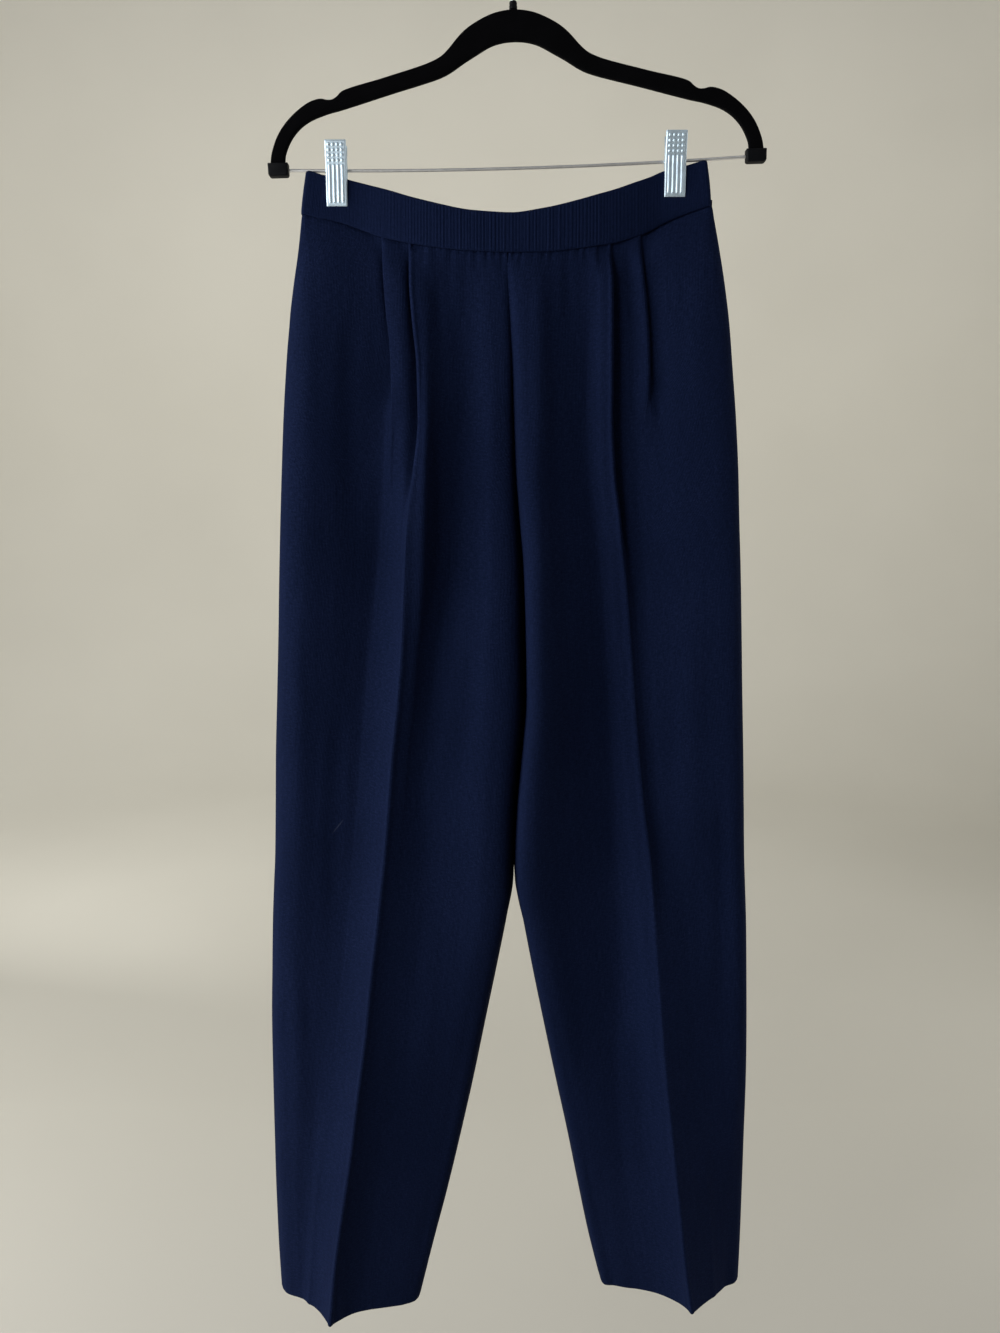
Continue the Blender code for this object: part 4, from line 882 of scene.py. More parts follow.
FRONT_STEPS = [2, 2, 8, 9, 8, 5, 5, 4, 4, 4, 6, 5, 5, 4, 4, 4, 3, 4, 6, 4, 6, 9, 11, 10, 9]
BACK_STEPS = [2, 2, 4, 14, 9, 8, 4, 8, 9, 10, 8, 5]
LAYER_TOP = 1.25      # spacing of the pleat layers where the band holds them


def panel(name, leg, front):
    section = front_section if front else back_section
    P, v = control_grid(leg, section)
    R, K, _ = P.shape
    sign = -1.0 if front else 1.0
    down = seam_at(P[:, :, 0]) - P[:, :, 2]          # millimetres below the band's seam
    down = np.maximum(down, 0.0)
    # under the band the cloth lies flat behind its edge, pleat layers stacked
    stack = np.zeros(K)
    if front:
        for j, k in enumerate((2.0, 2.0, 1.5, 1.0, 0.0)):
            stack[6 + j] = k
            stack[12 + j] = k
        stack[4:6] = (0.8, 1.6)
        stack[11] = 0.9
    flat_y = sign * (BAND("depth", P[:, :, 0] / 1.03) - 0.55 - stack[None, :] * LAYER_TOP)
    # the cloth comes out from the seam at once and eases to its own depth
    folded = np.array([1.0 if (front and 6 <= j <= 18) else 0.0 for j in range(K)])[None, :]
    k = mix(1.0 - np.exp(-down / 15.0), smooth(down / 34.0), folded)
    P[:, :, 1] = mix(flat_y, P[:, :, 1], k)
    # the front seam line moves in from the outline near the waist
    steps = FRONT_STEPS if front else BACK_STEPS
    G = catmull(P, steps[:K - 1])
    crease = sum(steps[:(15 if front else 7)])
    # lengths along the cloth, from the crease, for the knit's grain
    seg = np.linalg.norm(np.diff(G, axis=1), axis=2)
    s = np.concatenate([np.zeros((R, 1)), np.cumsum(seg, axis=1)], axis=1)
    u = s - s[:, crease:crease + 1]
    rise = np.linalg.norm(np.diff(G[:, crease], axis=0), axis=1)
    vv = np.concatenate([[0.0], np.cumsum(rise)])
    UV = np.stack([u, np.repeat(-vv[:, None], G.shape[1], axis=1)], -1) * MM
    # listed relief and gathers
    x, z = G[:, :, 0], G[:, :, 2]
    below = np.maximum(seam_at(x) - z, 0.0)
    edge = smooth(np.minimum(s, s[:, -1:] - s) / 14.0)
    rows = FOLDS[name]
    lift = fold_field(x, z, rows) * edge
    lift *= smooth(below / 22.0)
    lift += gather(x, below, 7 if leg == "right" else 11)
    lift -= 1.1 * np.exp(-(below / 2.4) ** 2)          # the seam draws it in
    if front:
        # the cloth sinks just under the seam, beside the stack of pleat layers
        at = -77.0 if leg == "right" else 79.0
        lift -= 1.7 * hump((x - at) / 13.0) * np.exp(-((below - 3.0) / 4.0) ** 2)
        # the side seam, where it comes round to the front
        inset = SIDE_SEAM[leg]("in", z[:, :1])
        here = smooth(inset / 2.0)
        lift -= 0.60 * hump((s - inset) / 1.5) * here
        lift += 0.35 * smooth((inset - s) / 1.5) * here
    if front:
        # keep the folded layers of the pleats as they are
        inside = np.zeros(G.shape[1])
        lo, hi = sum(steps[:6]), sum(steps[:10])
        lo2, hi2 = sum(steps[:12]), sum(steps[:16])
        inside[lo:hi] = 1.0
        inside[lo2:hi2] = 1.0
        shut1 = smooth(PLEAT[leg]("outer_fold", z[:, :1]) / 2.0)
        shut2 = smooth(PLEAT[leg]("inner_fold", z[:, :1]) / 2.0)
        keep = np.ones(G.shape[:2])
        keep[:, lo:hi] = 1.0 - shut1
        keep[:, lo2:hi2] = 1.0 - shut2
        lift *= keep
    # a slow waviness that pressed knit keeps
    wave = (0.45 * np.sin(z / 61.0 + x / 23.0 + (0 if leg == "right" else 2.1))
            + 0.30 * np.sin(z / 27.0 - x / 17.0 + 1.3)) * edge * smooth(below / 60.0)
    if not front:
        wave *= 1.2
    G[:, :, 1] += sign * (lift + wave * 0.6)
    # edges turn in at the seams, which leaves a fine groove
    turn_in = 0.85 * (1.0 - smooth(s / 1.9))
    nrm, _ = normals(G)
    out_sign = np.sign((nrm[:, :, 1] * sign).mean())
    nrm = nrm * out_sign                               # points away from the body
    G = G - nrm * turn_in[..., None] * 0.55
    # the turned-up hem, one layer more inside
    depth = [0.35, 0.85, 1.25, 1.45, 1.5, 1.5, 1.5, 1.5, 1.5, 1.5]
    rise_mm = [-0.45, -0.62, -0.40, 0.4, 4.0, 8.5, 13.0, 17.5, 22.0, 26.0]
    last, n_last = G[-1], nrm[-1]
    zc = G[:, :, 2]
    extra, extra_uv = [], []
    for d, up in zip(depth, rise_mm):
        if up <= 0.4:
            base = last + np.array([0.0, 0.0, up])
            nn = n_last
        else:
            # the surface `up` higher
            zt = last[:, 2] + up
            base = np.empty_like(last)
            nn = np.empty_like(last)
            for c in range(G.shape[1]):
                col = G[::-1, c]
                base[c, 0] = np.interp(zt[c], col[:, 2], col[:, 0])
                base[c, 1] = np.interp(zt[c], col[:, 2], col[:, 1])
                base[c, 2] = zt[c]
                nn[c] = n_last[c]
        extra.append(base - nn * np.array([1.0, 1.0, 0.0]) * d)
        extra_uv.append(np.stack([UV[-1, :, 0], UV[-1, :, 1] - (0.001 + 0.001 * max(up, 0))], -1))
    G = np.concatenate([G, np.array(extra)], axis=0)
    UV = np.concatenate([UV, np.array(extra_uv)], axis=0)
    # the seam allowance tucked up inside the band
    up_rows, up_uv = [], []
    for t, inwards in ((5.0, 1.9), (2.6, 1.4)):
        r0 = G[0].copy()
        r0[:, 2] += t
        r0[:, 1] -= sign * inwards * np.minimum(1.0, np.abs(r0[:, 1]) / 6.0)
        up_rows.append(r0)
        up_uv.append(np.stack([UV[0, :, 0], UV[0, :, 1] + t * MM], -1))
    G = np.concatenate([np.array(up_rows), G], axis=0)
    UV = np.concatenate([np.array(up_uv), UV], axis=0)
    ob = shell(name.replace("front", "trouser_front").replace("back", "trouser_back"),
               G, UV, CLOTH, KNIT)
    area = float(np.linalg.norm(np.cross(G[1:, 1:] - G[:-1, :-1], G[1:, :-1] - G[:-1, 1:]),
                                axis=2).sum() / 2) * 1e-6
    return ob, area, float(s.max()), float(vv[-1])


def waistband():
    """One ring of rib, folded over the elastic: upright ribs, rounded top edge,
    the lower edge rolling under at the seam."""
    half = np.linspace(0.0, 1.0, 700)
    xs = mix(BAND.at[0], BAND.at[-1], half)
    # equal steps along the front, then round each end, then the back
    front = np.stack([xs, -BAND("depth", xs), xs], -1)
    ends = []
    for side, x in ((1.0, BAND.at[-1]), (-1.0, BAND.at[0])):
        a = np.linspace(0.0, math.pi, 15)[1:-1]
        ends.append(np.stack([x + side * 2.0 * np.sin(a), -side * 2.0 * np.cos(a),
                              x + 0 * a], -1))
    back = np.stack([xs[::-1], BAND("depth", xs[::-1]), xs[::-1]], -1)
    loop = np.concatenate([front, ends[0], back, ends[1]])
    nxt = np.roll(loop, -1, axis=0)
    seg = np.hypot(*(nxt - loop)[:, :2].T)
    s = np.concatenate([[0.0], np.cumsum(seg)[:-1]])
    total = seg.sum()
    n = 1560
    t = np.linspace(0.0, total, n, endpoint=False)
    full = np.concatenate([loop, loop[:1]])
    ss = np.concatenate([s, [total]])
    L = np.stack([np.interp(t, ss, full[:, k]) for k in range(3)], -1)
    # rib: an upright wave of about 3 mm, strong in the middle where the band is
    # relaxed, nearly pressed flat towards the clips
    x = L[:, 0]
    strength = mix(0.16, 1.0, smooth((124.0 - np.abs(x - 6.0)) / 76.0))
    rng = np.random.default_rng(5)
    ribs = int(round(total / 2.75))
    edges = np.cumsum(rng.uniform(0.78, 1.24, ribs))
    edges = np.concatenate([[0.0], edges]) / edges[-1] * total
    phase = np.interp(t, edges, np.arange(ribs + 1))
    tall = rng.uniform(0.55, 1.25, ribs + 1)
    tall = np.interp(phase, np.arange(ribs + 1) + 0.5, tall)
    rib = (1.0 - np.abs(2 * (phase % 1.0) - 1.0) ** 2.6)      # rounded ridges, sharp grooves
    rib_high = 0.52 * strength * tall * rib
    # rows: up the outside, over the top fold, down the inside, round the bottom
    W = 2.5
    up = []          # (share of height, offset outwards in mm, rib weight)
    for k in range(13):
        f = 1.0 - k / 12.0
        up.append((f, W / 2, 1.0 if 0 < k < 12 else 0.7))
    for a in (25, 55, 90, 125, 155):
        r = math.radians(a)
        up.append((-(W / 2) * math.sin(r) / 32.0, W / 2 * math.cos(r), 0.75 * max(math.cos(r), 0.25)))
    for k in range(9):
        f = k / 8.0
        up.append((f, -W / 2, 0.5 if k < 8 else 0.3))
    for a in (40, 90, 140):
        r = math.radians(a)
        up.append((1.0 + 1.0 * math.sin(r) / 32.0, -W / 2 * math.cos(r), 0.4))
    nx = np.roll(L, -1, axis=0) - np.roll(L, 1, axis=0)
    nrm = np.stack([nx[:, 1], -nx[:, 0]], -1)
    nrm /= np.maximum(np.linalg.norm(nrm, axis=1, keepdims=True), 1e-9)
    # soften the normals round the tight ends
    for _ in range(3):
        nrm = (np.roll(nrm, 1, 0) + nrm * 2 + np.roll(nrm, -1, 0))
        nrm /= np.linalg.norm(nrm, axis=1, keepdims=True)
    top, low = BAND("top_z", L[:, 2]), BAND("seam_z", L[:, 2])
    rows, uvs = [], []
    belly = rng.normal(0, 1, 40)
    slow = np.interp(t, np.linspace(0, total, 40), belly)
    for f, o, wgt in up:
        xx = flare(L[:, 0], f)
        zz = mix(top, low, f)
        bulge = 0.35 * math.sin(math.pi * min(max(f, 0.0), 1.0)) * (1.0 + 0.35 * slow)
        off = o + (bulge if o > 0 else -0.2 * bulge) + wgt * (rib_high - 0.25) * (1 if o > 0 else -0.6)
        nip = 0.28 * max(0.0, 1.0 - (1.0 - f) * 32.0 / 2.2) if o > 0 else 0.0
        off = off - nip
        rows.append(np.stack([xx + nrm[:, 0] * off, L[:, 1] + nrm[:, 1] * off,
                              zz + 0.18 * slow * (1 if o > 0 else 1)], -1))
        uvs.append(np.stack([t * MM, np.full(n, -f * 0.032 - (0.05 if o < 0 else 0))], -1))
    G = np.array(rows)
    UV = np.array(uvs)
    Rn = len(rows)
    verts = G.reshape(-1, 3)
    i = np.arange(Rn)[:, None] * n
    j = np.arange(n)[None, :]
    p = (i + j)
    q = (i + (j + 1) % n)
    pn = (np.roll(i, -1, axis=0) + j)
    qn = (np.roll(i, -1, axis=0) + (j + 1) % n)
    faces = np.stack([p, q, qn, pn], -1).reshape(-1, 4)
    tri = np.concatenate([faces[:, [0, 1, 2]], faces[:, [0, 2, 3]]])
    vol = np.einsum("ij,ij->i", verts[tri[:, 0]], np.cross(verts[tri[:, 1]], verts[tri[:, 2]])).sum()
    if vol < 0:
        faces = faces[:, ::-1]
    return link("trouser_waistband", verts, faces, RIB, UV.reshape(-1, 2)), total


PANELS = {}
for leg in ("right", "left"):
    for part, front in (("front", True), ("back", False)):
        name = part + "_" + leg
        ob, area, wide, long = panel(name, leg, front)
        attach(ob, "root")
        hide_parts(name)
        PANELS[name] = (ob, area, wide, long)
band_ob, band_round = waistband()
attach(band_ob, "root")
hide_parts("waistband")

# the cut of each panel, before it was sewn and pleated: the widest it gets by its
# full length with the hem and seam allowances; the area is what the outline fills
CUT = {"front_right": (0.300, 1.035, 0.222), "front_left": (0.300, 1.030, 0.222),
       "back_right": (0.245, 1.035, 0.200), "back_left": (0.245, 1.030, 0.200)}
for name, (ob, area, wide, long) in PANELS.items():
    w, l, a = CUT[name]
    print("PANEL", name, "area", round(area, 4), "widest", round(wide, 1), "long", round(long, 1))
print("BAND round", round(band_round, 1))

# =============================================================== the hanger
TILT = math.radians(-1.62)


def tilted(points):
    p = np.asarray(points, float)
    c, s = math.cos(TILT), math.sin(TILT)
    return np.stack([p[..., 0] * c + p[..., 2] * s, p[..., 1],
                     -p[..., 0] * s + p[..., 2] * c], -1)


def through(points, per, closed=False):
    """Catmull-Rom through 2-D points, about `per` millimetres a step."""
    P = np.asarray(points, float)
    if closed:
        Q = np.concatenate([P[-1:], P, P[:2]])
        spans = len(P)
    else:
        Q = np.concatenate([2 * P[:1] - P[1:2], P, 2 * P[-1:] - P[-2:-1]])
        spans = len(P) - 1
    out = []
    for k in range(spans):
        p0, p1, p2, p3 = Q[k], Q[k + 1], Q[k + 2], Q[k + 3]
        d = [max(np.linalg.norm(b - a), 1e-4) ** 0.5 for a, b in ((p0, p1), (p1, p2), (p2, p3))]
        t0, t1 = 0.0, d[0]
        t2 = t1 + d[1]
        t3 = t2 + d[2]
        n = max(1, int(math.ceil(np.linalg.norm(p2 - p1) / per)))
        for i in range(n):
            t = t1 + (t2 - t1) * i / n
            A1 = (t1 - t) / (t1 - t0) * p0 + (t - t0) / (t1 - t0) * p1
            A2 = (t2 - t) / (t2 - t1) * p1 + (t - t1) / (t2 - t1) * p2
            A3 = (t3 - t) / (t3 - t2) * p2 + (t - t2) / (t3 - t2) * p3
            B1 = (t2 - t) / (t2 - t0) * A1 + (t - t0) / (t2 - t0) * A2
            B2 = (t3 - t) / (t3 - t1) * A2 + (t - t1) / (t3 - t1) * A3
            out.append((t2 - t) / (t2 - t1) * B1 + (t - t1) / (t2 - t1) * B2)
    if not closed:
        out.append(P[-1])
    return np.array(out)


ARM_TOP = [(0.0, -78.2), (7.0, -78.6), (18.0, -81.0), (32.0, -87.3), (40.5, -92.9),
           (47.0, -99.0), (52.5, -105.0), (59.0, -110.8), (69.0, -115.6),
           (106.0, -125.9), (141.5, -135.4), (145.6, -139.0), (149.4, -141.2),
           (153.4, -141.4), (158.6, -140.4), (164.0, -141.2), (169.4, -143.2),
           (176.0, -147.2), (182.0, -151.8), (187.4, -156.8), (192.2, -162.4),
           (196.6, -169.2), (199.8, -176.4), (201.8, -182.6), (202.8, -189.0)]
ARM_LOW = [(191.1, -189.0), (190.2, -182.6), (188.2, -177.4), (185.2, -171.8),
           (181.6, -167.0), (177.0, -162.4), (171.6, -158.6), (165.6, -155.6),
           (159.4, -153.4), (152.0, -151.2), (143.8, -149.4), (102.0, -138.2),
           (60.0, -126.8), (51.0, -122.6), (42.0, -117.0), (32.0, -111.4),
           (18.4, -104.4), (8.0, -101.9), (0.0, -101.4)]
HANGER_THICK = 5.6


def slab(name, outline, thick, rim, mat, steps=5):
    """A flat outline with rounded edges: rings of the outline stepping round the
    edge, closed by flat faces."""
    P = np.asarray(outline, float)
    a = np.roll(P, -1, 0) - P
    b = P - np.roll(P, 1, 0)
    a /= np.linalg.norm(a, axis=1, keepdims=True)
    b /= np.linalg.norm(b, axis=1, keepdims=True)
    t = a + b
    nn = np.stack([t[:, 1], -t[:, 0]], -1)
    nn /= np.maximum(np.linalg.norm(nn, axis=1, keepdims=True), 1e-9)
    area = (P[:, 0] * np.roll(P[:, 1], -1) - np.roll(P[:, 0], -1) * P[:, 1]).sum() / 2
    if area < 0:
        nn = -nn
    rings = []
    angles = np.linspace(0, math.pi / 2, steps)
    for r in angles:                                   # front face to side
        rings.append((-thick / 2 + rim * (1 - math.sin(r)), rim * (1 - math.cos(r))))
    prof = [(-thick / 2 + rim * (1 - math.sin(math.pi / 2 - r)), rim * (1 - math.cos(math.pi / 2 - r)))
            for r in angles]
    prof = [(y, inn) for y, inn in prof]
    half_prof = [(-thick / 2, rim)] + [(-thick / 2 + rim * (1 - math.cos(r)), rim * (1 - math.sin(r)))
                                       for r in angles[1:]]
    profile = half_prof + [(-y, inn) for y, inn in reversed(half_prof)]
    verts, faces = [], []
    N = len(P)
    for y, inn in profile:
        for (x, z), (nx_, nz_) in zip(P, nn):
            verts.append((x - nx_ * inn, y, z - nz_ * inn))
    for i in range(len(profile) - 1):
        for j in range(N):
            m = (j + 1) % N
            faces.append((i * N + j, i * N + m, (i + 1) * N + m, (i + 1) * N + j))
    faces.append(tuple(range(N)))
    faces.append(tuple((len(profile) - 1) * N + j for j in reversed(range(N))))
    me_verts = tilted(verts)
    me = bpy.data.meshes.new(name)
    me.from_pydata([tuple(c * MM for c in v) for v in me_verts], [], faces)
    bm = bmesh.new()
    bm.from_mesh(me)
    bmesh.ops.recalc_face_normals(bm, faces=bm.faces[:])
    if bm.calc_volume(signed=True) < 0:
        bmesh.ops.reverse_faces(bm, faces=bm.faces[:])
    bmesh.ops.triangulate(bm, faces=[f for f in bm.faces if len(f.verts) > 4])
    bm.to_mesh(me)
    bm.free()
    me.shade_smooth()
    me.set_sharp_from_angle(angle=math.radians(50))
    me.materials.append(mat)
    ob = bpy.data.objects.new(name, me)
    SCENE.collection.objects.link(ob)
    return ob


top = through(ARM_TOP, 2.2)
low = through(ARM_LOW, 2.2)
halfline = np.concatenate([top, low])
mirror = halfline[::-1].copy()
mirror[:, 0] *= -1
whole = np.concatenate([halfline, mirror])
keep = [0]
for i in range(1, len(whole)):
    if np.linalg.norm(whole[i] - whole[keep[-1]]) > 0.4:
        keep.append(i)
if np.linalg.norm(whole[keep[-1]] - whole[keep[0]]) < 0.4:
    keep.pop()
body = slab("hanger_arms", whole[keep], HANGER_THICK, 1.5, VELVET, 6)
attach(body, "root")
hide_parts("hanger_body")


def turned(name, profile, mat, sides=40):
    """A turned piece about the hook's stem: (radius, z) rows, closed."""
    verts, faces = [], []
    for r, z in profile:
        for k in range(sides):
            a = 2 * math.pi * k / sides
            verts.append((r * math.cos(a), r * math.sin(a), z))
    n = len(profile)
    for i in range(n - 1):
        for k in range(sides):
            m = (k + 1) % sides
            faces.append((i * sides + k, i * sides + m, (i + 1) * sides + m, (i + 1) * sides + k))
    faces.append(tuple(reversed(range(sides))))
    faces.append(tuple((n - 1) * sides + k for k in range(sides)))
    return link(name, tilted(verts), faces, mat, smooth_deg=40)


collar = turned("hanger_neck", [(2.8, -77.9), (3.2, -77.6), (3.25, -75.4), (3.0, -74.9),
                                (3.0, -73.6), (3.15, -73.2), (2.9, -72.2), (2.2, -71.5)], PLASTIC)
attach(collar, "root")
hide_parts("hanger_collar")


def tube(name, path, radius, mat, sides=20, ends=True, tilt=True):
    """A round wire along a path, its ends rounded over."""
    p = np.asarray(path, float)
    d = np.gradient(p, axis=0)
    d /= np.linalg.norm(d, axis=1, keepdims=True)
    ref = np.array((0.0, 1.0, 0.0))
    u = np.cross(d, ref)
    bad = np.linalg.norm(u, axis=1) < 1e-3
    u[bad] = (1.0, 0.0, 0.0)
    u /= np.linalg.norm(u, axis=1, keepdims=True)
    w = np.cross(d, u)
    rings = [(p[0] - d[0] * 0.75 * radius, u[0], w[0], 0.35 * radius),
             (p[0] - d[0] * 0.45 * radius, u[0], w[0], 0.80 * radius)] if ends else []
    rings += [(p[i], u[i], w[i], radius) for i in range(len(p))]
    if ends:
        rings += [(p[-1] + d[-1] * 0.45 * radius, u[-1], w[-1], 0.80 * radius),
                  (p[-1] + d[-1] * 0.75 * radius, u[-1], w[-1], 0.35 * radius)]
    a = np.arange(sides) * 2 * math.pi / sides
    verts = np.concatenate([c + r * (np.cos(a)[:, None] * uu + np.sin(a)[:, None] * ww)
                            for c, uu, ww, r in rings])
    n = len(rings)
    faces = []
    for i in range(n - 1):
        for k in range(sides):
            m = (k + 1) % sides
            faces.append((i * sides + k, i * sides + m, (i + 1) * sides + m, (i + 1) * sides + k))
    faces.append(tuple(reversed(range(sides))))
    faces.append(tuple((n - 1) * sides + k for k in range(sides)))
    if tilt:
        verts = tilted(verts)
    ob = link(name, verts, faces, mat, smooth_deg=50)
    bm = bmesh.new()
    bm.from_mesh(ob.data)
    bmesh.ops.recalc_face_normals(bm, faces=bm.faces[:])
    if bm.calc_volume(signed=True) < 0:
        bmesh.ops.reverse_faces(bm, faces=bm.faces[:])
    bm.to_mesh(ob.data)
    bm.free()
    return ob


HOOK_WIRE = 3.6
HOOK_R = 19.0 + HOOK_WIRE / 2
hook = [(0.0, 0.0, -71.2), (0.0, 0.0, -66.0), (0.0, 0.0, -60.0), (0.8, 0.0, -54.0),
        (3.2, 0.0, -48.2), (7.4, 0.0, -42.6), (12.0, 0.0, -37.6)]
for deg in range(-46, 190, 6):
    a = math.radians(deg)
    hook.append((HOOK_R * math.cos(a), 0.0, -(HOOK_R - HOOK_WIRE / 2) + HOOK_R * math.sin(a)))
h2 = through([(x, z) for x, _, z in hook], 1.2)
hook_ob = tube("hanger_hook_wire", [(x, 0.0, z) for x, z in h2], HOOK_WIRE / 2, CHROME, 24)
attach(hook_ob, "root")
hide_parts("hanger_hook")

ROD_END, ROD_Z, ROD_SAG, ROD_D = 188.1, -194.3, 3.6, 2.5


def rod_z(x):
    return ROD_Z - ROD_SAG * (1.0 - (x / ROD_END) ** 2)


rod = tube("hanger_trouser_rod", [(x, 0.0, rod_z(x)) for x in np.linspace(-ROD_END, ROD_END, 90)],
           ROD_D / 2, CHROME, 20, ends=False)
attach(rod, "root")
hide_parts("hanger_rod")

# end caps: a moulded shoe on each arm's end, its mouth a little wider
for side, label in ((-1.0, "right"), (1.0, "left")):
    pts = [(188.6, -188.9), (188.4, -190.0), (188.5, -192.5), (188.5, -197.4), (189.2, -198.7),
           (190.4, -199.1), (203.0, -199.1), (204.3, -198.6), (204.9, -197.3), (204.9, -192.5),
           (205.0, -190.0), (204.8, -188.9)]
    pts = [(side * x, z) for x, z in pts]
    cap = slab("hanger_shoe_" + label, pts, 8.8, 1.3, PLASTIC, 5)
    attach(cap, "root")
    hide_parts("hanger_cap_" + label)


def row_rod_z(x):
    c, s = math.cos(TILT), math.sin(TILT)
    u = x / c
    for _ in range(6):
        u = (x - rod_z(u) * s) / c
    return -u * s + rod_z(u) * c


# =============================================================== the clips
CLIP_WIDTH = 17.4
CLIP_AT = {"right": -143.0, "left": 135.6}
# height over the rod, how far the plate's inner face stands off the middle plane,
# and how deep the folded flange at its two edges is
JAW = Table(("t", "gap", "flange"), [
    (21.5, 8.2, 0.9), (19.6, 8.0, 1.3), (13.0, 6.9, 2.0), (6.0, 5.7, 4.4), (2.0, 5.0, 5.4),
    (-3.0, 4.4, 4.8), (-9.0, 4.5, 2.4), (-17.0, 4.6, 1.3), (-24.0, 4.0, 0.9),
    (-26.6, 3.6, 0.7), (-28.5, 3.4, 0.5)])
STEEL = 0.75
RIB_X = (-5.35, -1.8, 1.75, 5.3)
BUMP_T = (17.8, 13.9, 10.0, 6.2)


def jaw(name, at, facing, inner):
    """A pressed plate: four rows of bumps over four upright ribs, a plain rim,
    its edges folded back as flanges.  inner jaws sit between the outer one's flanges."""
    half = CLIP_WIDTH / 2 - (1.0 if inner else 0.0)
    top, bottom = 21.5, -28.5
    face_x = np.linspace(-half, half, 54)
    ts = np.linspace(top, bottom, 150)
    X, T = np.meshgrid(face_x, ts)
    lift = np.zeros_like(X)
    for rx in RIB_X:
        rx = rx * (half / 8.7)
        d = np.abs(X - rx)
        body_ = np.clip(1.0 - (d / 1.02) ** 2, 0.0, 1.0) ** 0.6
        end = smooth((3.6 - T) / 1.2) * smooth((T + 26.4) / 1.2)
        lift = np.maximum(lift, 0.62 * body_ * end)
        for bt in BUMP_T:
            r = np.hypot(X - rx, T - bt) / 1.25
            lift = np.maximum(lift, 0.80 * np.sqrt(np.clip(1.0 - r * r, 0.0, 1.0)))
    # the rounded corner into each flange
    corner = 1.1
    e = np.clip((np.abs(X) - (half - corner)) / corner, 0.0, 1.0)
    lift -= corner * (1.0 - np.sqrt(1.0 - e ** 2)) * 0.9
    # a curled lip at the top edge and a plain one at the bottom
    lift -= 0.5 * smooth((T - 20.3) / 1.2)
    lift -= 0.35 * smooth((-27.5 - T) / 1.0)
    gap = JAW("gap", T)
    outer = gap + STEEL + lift
    inner_face = gap + lift * 0.9
    # flanges: extra columns that go back towards the other jaw
    fl = JAW("flange", ts)
    n_fl = 5
    left_o, right_o, left_i, right_i = [], [], [], []
    for k in range(1, n_fl + 1):
        f = k / n_fl
        yo = outer[:, 0] - f * fl
        left_o.append(np.stack([-half + 0 * ts, yo, ts], -1))
        right_o.append(np.stack([half + 0 * ts, outer[:, -1] - f * fl, ts], -1))
        left_i.append(np.stack([-half + STEEL + 0 * ts, yo, ts], -1))
        right_i.append(np.stack([half - STEEL + 0 * ts, outer[:, -1] - f * fl, ts], -1))
    face_o = np.stack([X, outer, T], -1)
    Xi = np.clip(X, -half + STEEL, half - STEEL)
    face_i = np.stack([Xi, inner_face, T], -1)
    A = np.concatenate([np.stack(left_o[::-1], 1), face_o, np.stack(right_o, 1)], axis=1)
    B = np.concatenate([np.stack(left_i[::-1], 1), face_i, np.stack(right_i, 1)], axis=1)
    # the inner face meets the flange at the steel's thickness
    R, C = A.shape[:2]
    for S in (A, B):
        S[..., 1] *= facing
        S[..., 0] += at[0]
        S[..., 1] += at[1]
        S[..., 2] += at[2]
    verts = np.concatenate([A.reshape(-1, 3), B.reshape(-1, 3)])
    N = R * C
    cols = np.arange(C - 1)
    i = np.arange(R - 1)[:, None] * C
    p, q = i + cols, i + cols + 1
    r, s = q + C, p + C
    faces = [np.stack([p, q, r, s], -1).reshape(-1, 4),
             np.stack([s, r, q, p], -1).reshape(-1, 4) + N,
             np.stack([cols + N, cols + 1 + N, cols + 1, cols], -1)]
    e0 = (R - 1) * C
    faces.append(np.stack([e0 + cols, e0 + cols + 1, e0 + cols + 1 + N, e0 + cols + N], -1))
    a = np.arange(R - 1) * C
    faces.append(np.stack([a, a + C, a + C + N, a + N], -1))
    a = a + C - 1
    faces.append(np.stack([a + N, a + C + N, a + C, a], -1))
    faces = np.concatenate(faces)
    tri = np.concatenate([faces[:, [0, 1, 2]], faces[:, [0, 2, 3]]])
    vol = np.einsum("ij,ij->i", verts[tri[:, 0]], np.cross(verts[tri[:, 1]], verts[tri[:, 2]])).sum()
    if vol < 0:
        faces = faces[:, ::-1]
    return link(name, verts, faces, ZINC, smooth_deg=55)


def spring(name, at):
    """The closing spring: coils round the rod, a leg up behind each plate."""
    r, turns, wire_r, half = 3.1, 6.25, 0.55, 4.6
    pts = []
    n = int(turns * 22)
    # first leg, behind the rear plate
    pts += [(-half, 5.6, 11.0), (-half, 5.2, 7.5), (-half, 4.4, 4.0)]
    for k in range(n + 1):
        a = 2 * math.pi * turns * k / n
        pts.append((mix(-half, half, k / n), r * math.cos(a), r * math.sin(a)))
    pts += [(half, -0.2 - 1.8, 4.2), (half, -4.2, 6.2), (half, -5.2, 9.5)]
    p = np.array(pts)
    p += np.array(at)
    return tube(name, p, wire_r, CHROME, 8, tilt=False)


for label, x in CLIP_AT.items():
    at = (x, 0.0, row_rod_z(x))
    f = jaw("clip_front_" + label, at, -1.0, False)
    r = jaw("clip_rear_" + label, at, 1.0, True)
    s = spring("clip_coil_" + label, at)
    for ob, nd, sl in ((f, "clip_%s_front" % label, "zinc_steel"),
                       (r, "clip_%s_rear" % label, "zinc_steel"),
                       (s, "clip_%s_spring" % label, "bright_steel")):
        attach(ob, "root")
        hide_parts(nd)

# =============================================================== the stage
FLOOR_Z = -1.62


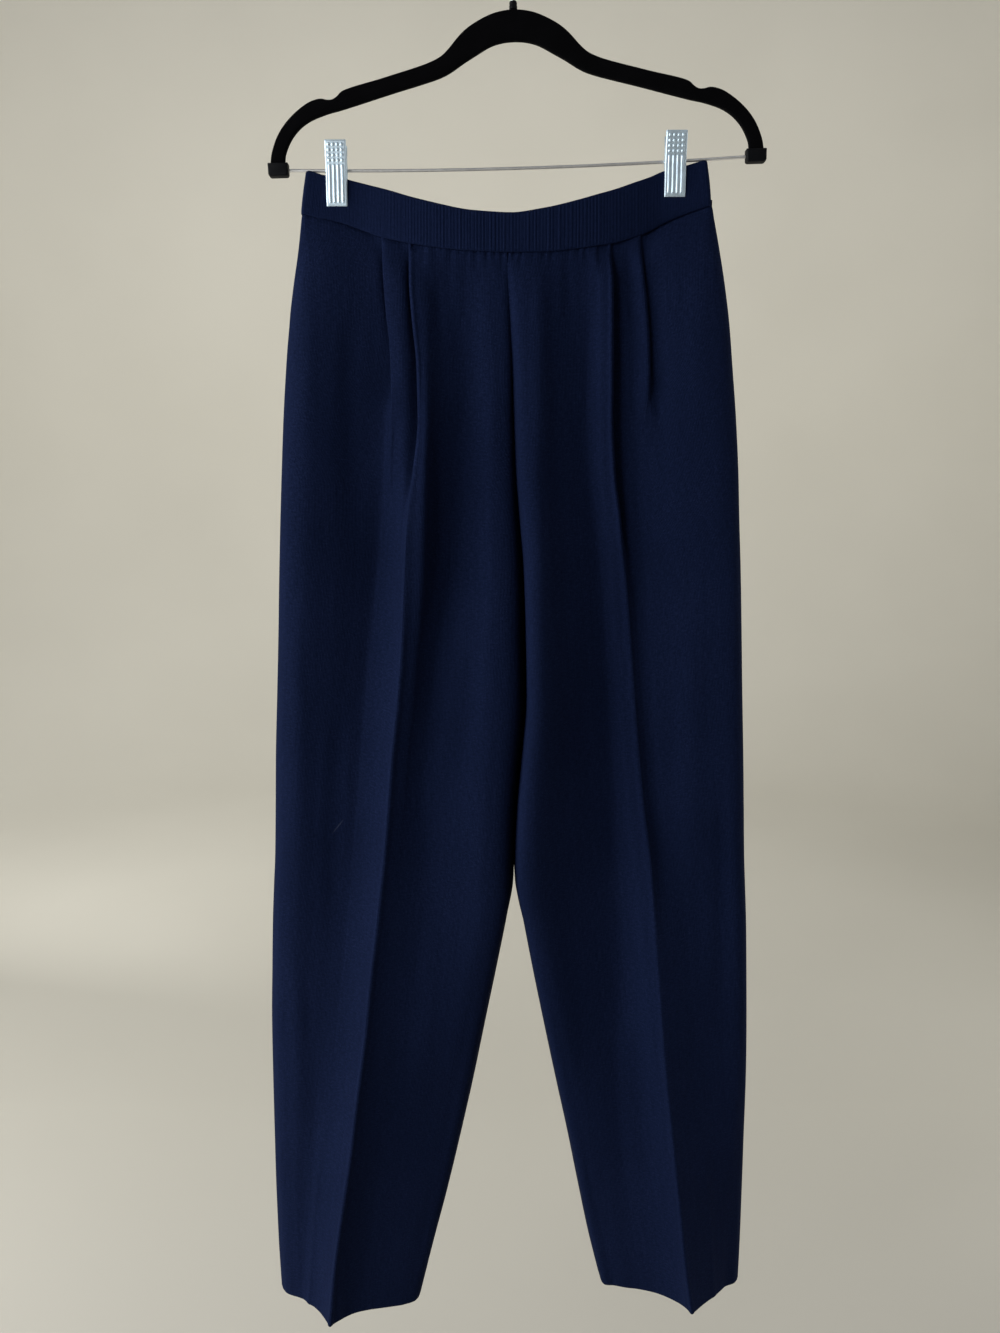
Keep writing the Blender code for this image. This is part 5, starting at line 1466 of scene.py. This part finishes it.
def sweep():
    """A pale floor that rises all round in one soft curve, open above."""
    prof = [(0.0, 0.0)]
    for r in np.linspace(0.5, 3.2, 8):
        prof.append((r, 0.0))
    for a in np.linspace(0, math.pi / 2, 14)[1:]:
        prof.append((3.2 + 1.6 * math.sin(a), 1.6 * (1 - math.cos(a))))
    prof.append((4.8, 3.2))
    prof.append((4.8, 4.6))
    sides = 96
    verts, faces = [(0.0, 0.0, FLOOR_Z)], []
    for r, z in prof[1:]:
        for k in range(sides):
            a = 2 * math.pi * k / sides
            verts.append((r * math.cos(a), r * math.sin(a), FLOOR_Z + z))
    for k in range(sides):
        faces.append((0, 1 + k, 1 + (k + 1) % sides))
    for i in range(len(prof) - 2):
        for k in range(sides):
            m = (k + 1) % sides
            faces.append((1 + i * sides + k, 1 + (i + 1) * sides + k,
                          1 + (i + 1) * sides + m, 1 + i * sides + m))
    me = bpy.data.meshes.new("floor_sweep")
    me.from_pydata(verts, [], faces)
    me.shade_smooth()
    ob = bpy.data.objects.new("floor_sweep", me)
    SCENE.collection.objects.link(ob)
    m, nt, b = new_material("pale_floor")
    co = node(nt, "ShaderNodeTexCoord")
    n1 = node(nt, "ShaderNodeTexNoise")
    n1.inputs["Scale"].default_value = 1.2
    nt.links.new(co.outputs["Object"], n1.inputs["Vector"])
    pale = ramp(nt, n1.outputs[0], [(0.3, (0.66, 0.635, 0.555)), (0.7, (0.69, 0.665, 0.583))])
    # the near side is a shade deeper, so that less light comes back onto the front
    # of the cloth
    s2 = node(nt, "ShaderNodeSeparateXYZ")
    nt.links.new(co.outputs["Object"], s2.inputs[0])
    t = math_node(nt, "ADD", math_node(nt, "MULTIPLY", s2.outputs[1], 0.5), 0.55, clamp=True)
    mx = node(nt, "ShaderNodeMix", data_type="RGBA")
    nt.links.new(t, mx.inputs[0])
    mx.inputs[6].default_value = (0.34, 0.33, 0.31, 1.0)
    nt.links.new(pale, mx.inputs[7])
    nt.links.new(mx.outputs[2], b.inputs["Base Color"])
    b.inputs["Roughness"].default_value = 0.9
    b.inputs["Specular IOR Level"].default_value = 0.1
    me.materials.append(m)
    return ob


sweep()


def area_light(name, at, aim, size, power, colour=(1.0, 1.0, 1.0), spread=180.0):
    d = bpy.data.lights.new(name, "AREA")
    d.shape = "RECTANGLE"
    d.size, d.size_y = size
    d.energy = power
    d.color = colour
    d.spread = math.radians(spread)
    o = bpy.data.objects.new(name, d)
    o.location = at
    o.rotation_euler = (Vector(aim) - Vector(at)).to_track_quat("-Z", "Y").to_euler()
    SCENE.collection.objects.link(o)
    return o


# a broad soft source on the viewer's left, from a little in front of the object
# to level with it, as a window there would be; a weak one opposite
area_light("key", (-1.65, -1.65, -0.14), (0.0, 0.0, -0.72), (1.1, 1.6), 31.0)
area_light("key_low", (-1.90, -0.88, -1.40), (0.0, 0.0, -0.72), (1.2, 0.8), 13.0)
area_light("key_side", (-2.30, -0.36, -0.14), (0.0, 0.0, -0.72), (1.5, 1.6), 53.0)
area_light("side_fill", (2.32, -0.56, -0.47), (0.0, 0.0, -0.72), (1.2, 1.8), 6.0)
area_light("edge_fill", (2.36, 0.42, -0.47), (0.0, 0.0, -0.72), (1.2, 1.8), 18.0)
area_light("top_fill", (1.1, -1.1, 1.2), (0.0, 0.0, -0.35), (1.0, 0.8), 3.5)
# these face away from the object and light only the sweep
area_light("wall_wash", (-0.3, 1.6, 1.5), (-0.3, 4.4, 0.9), (3.0, 1.2), 50.0)
area_light("floor_wash", (-1.6, 1.6, -0.6), (-0.9, 4.6, -0.9), (1.6, 1.2), 8.5)
world = bpy.data.worlds.new("studio")
SCENE.world = world
world.use_nodes = True
world.node_tree.nodes["Background"].inputs[0].default_value = (0.95, 0.97, 1.0, 1.0)
world.node_tree.nodes["Background"].inputs[1].default_value = 0.165
SCENE.view_settings.view_transform = "Standard"
SCENE.view_settings.look = "None"
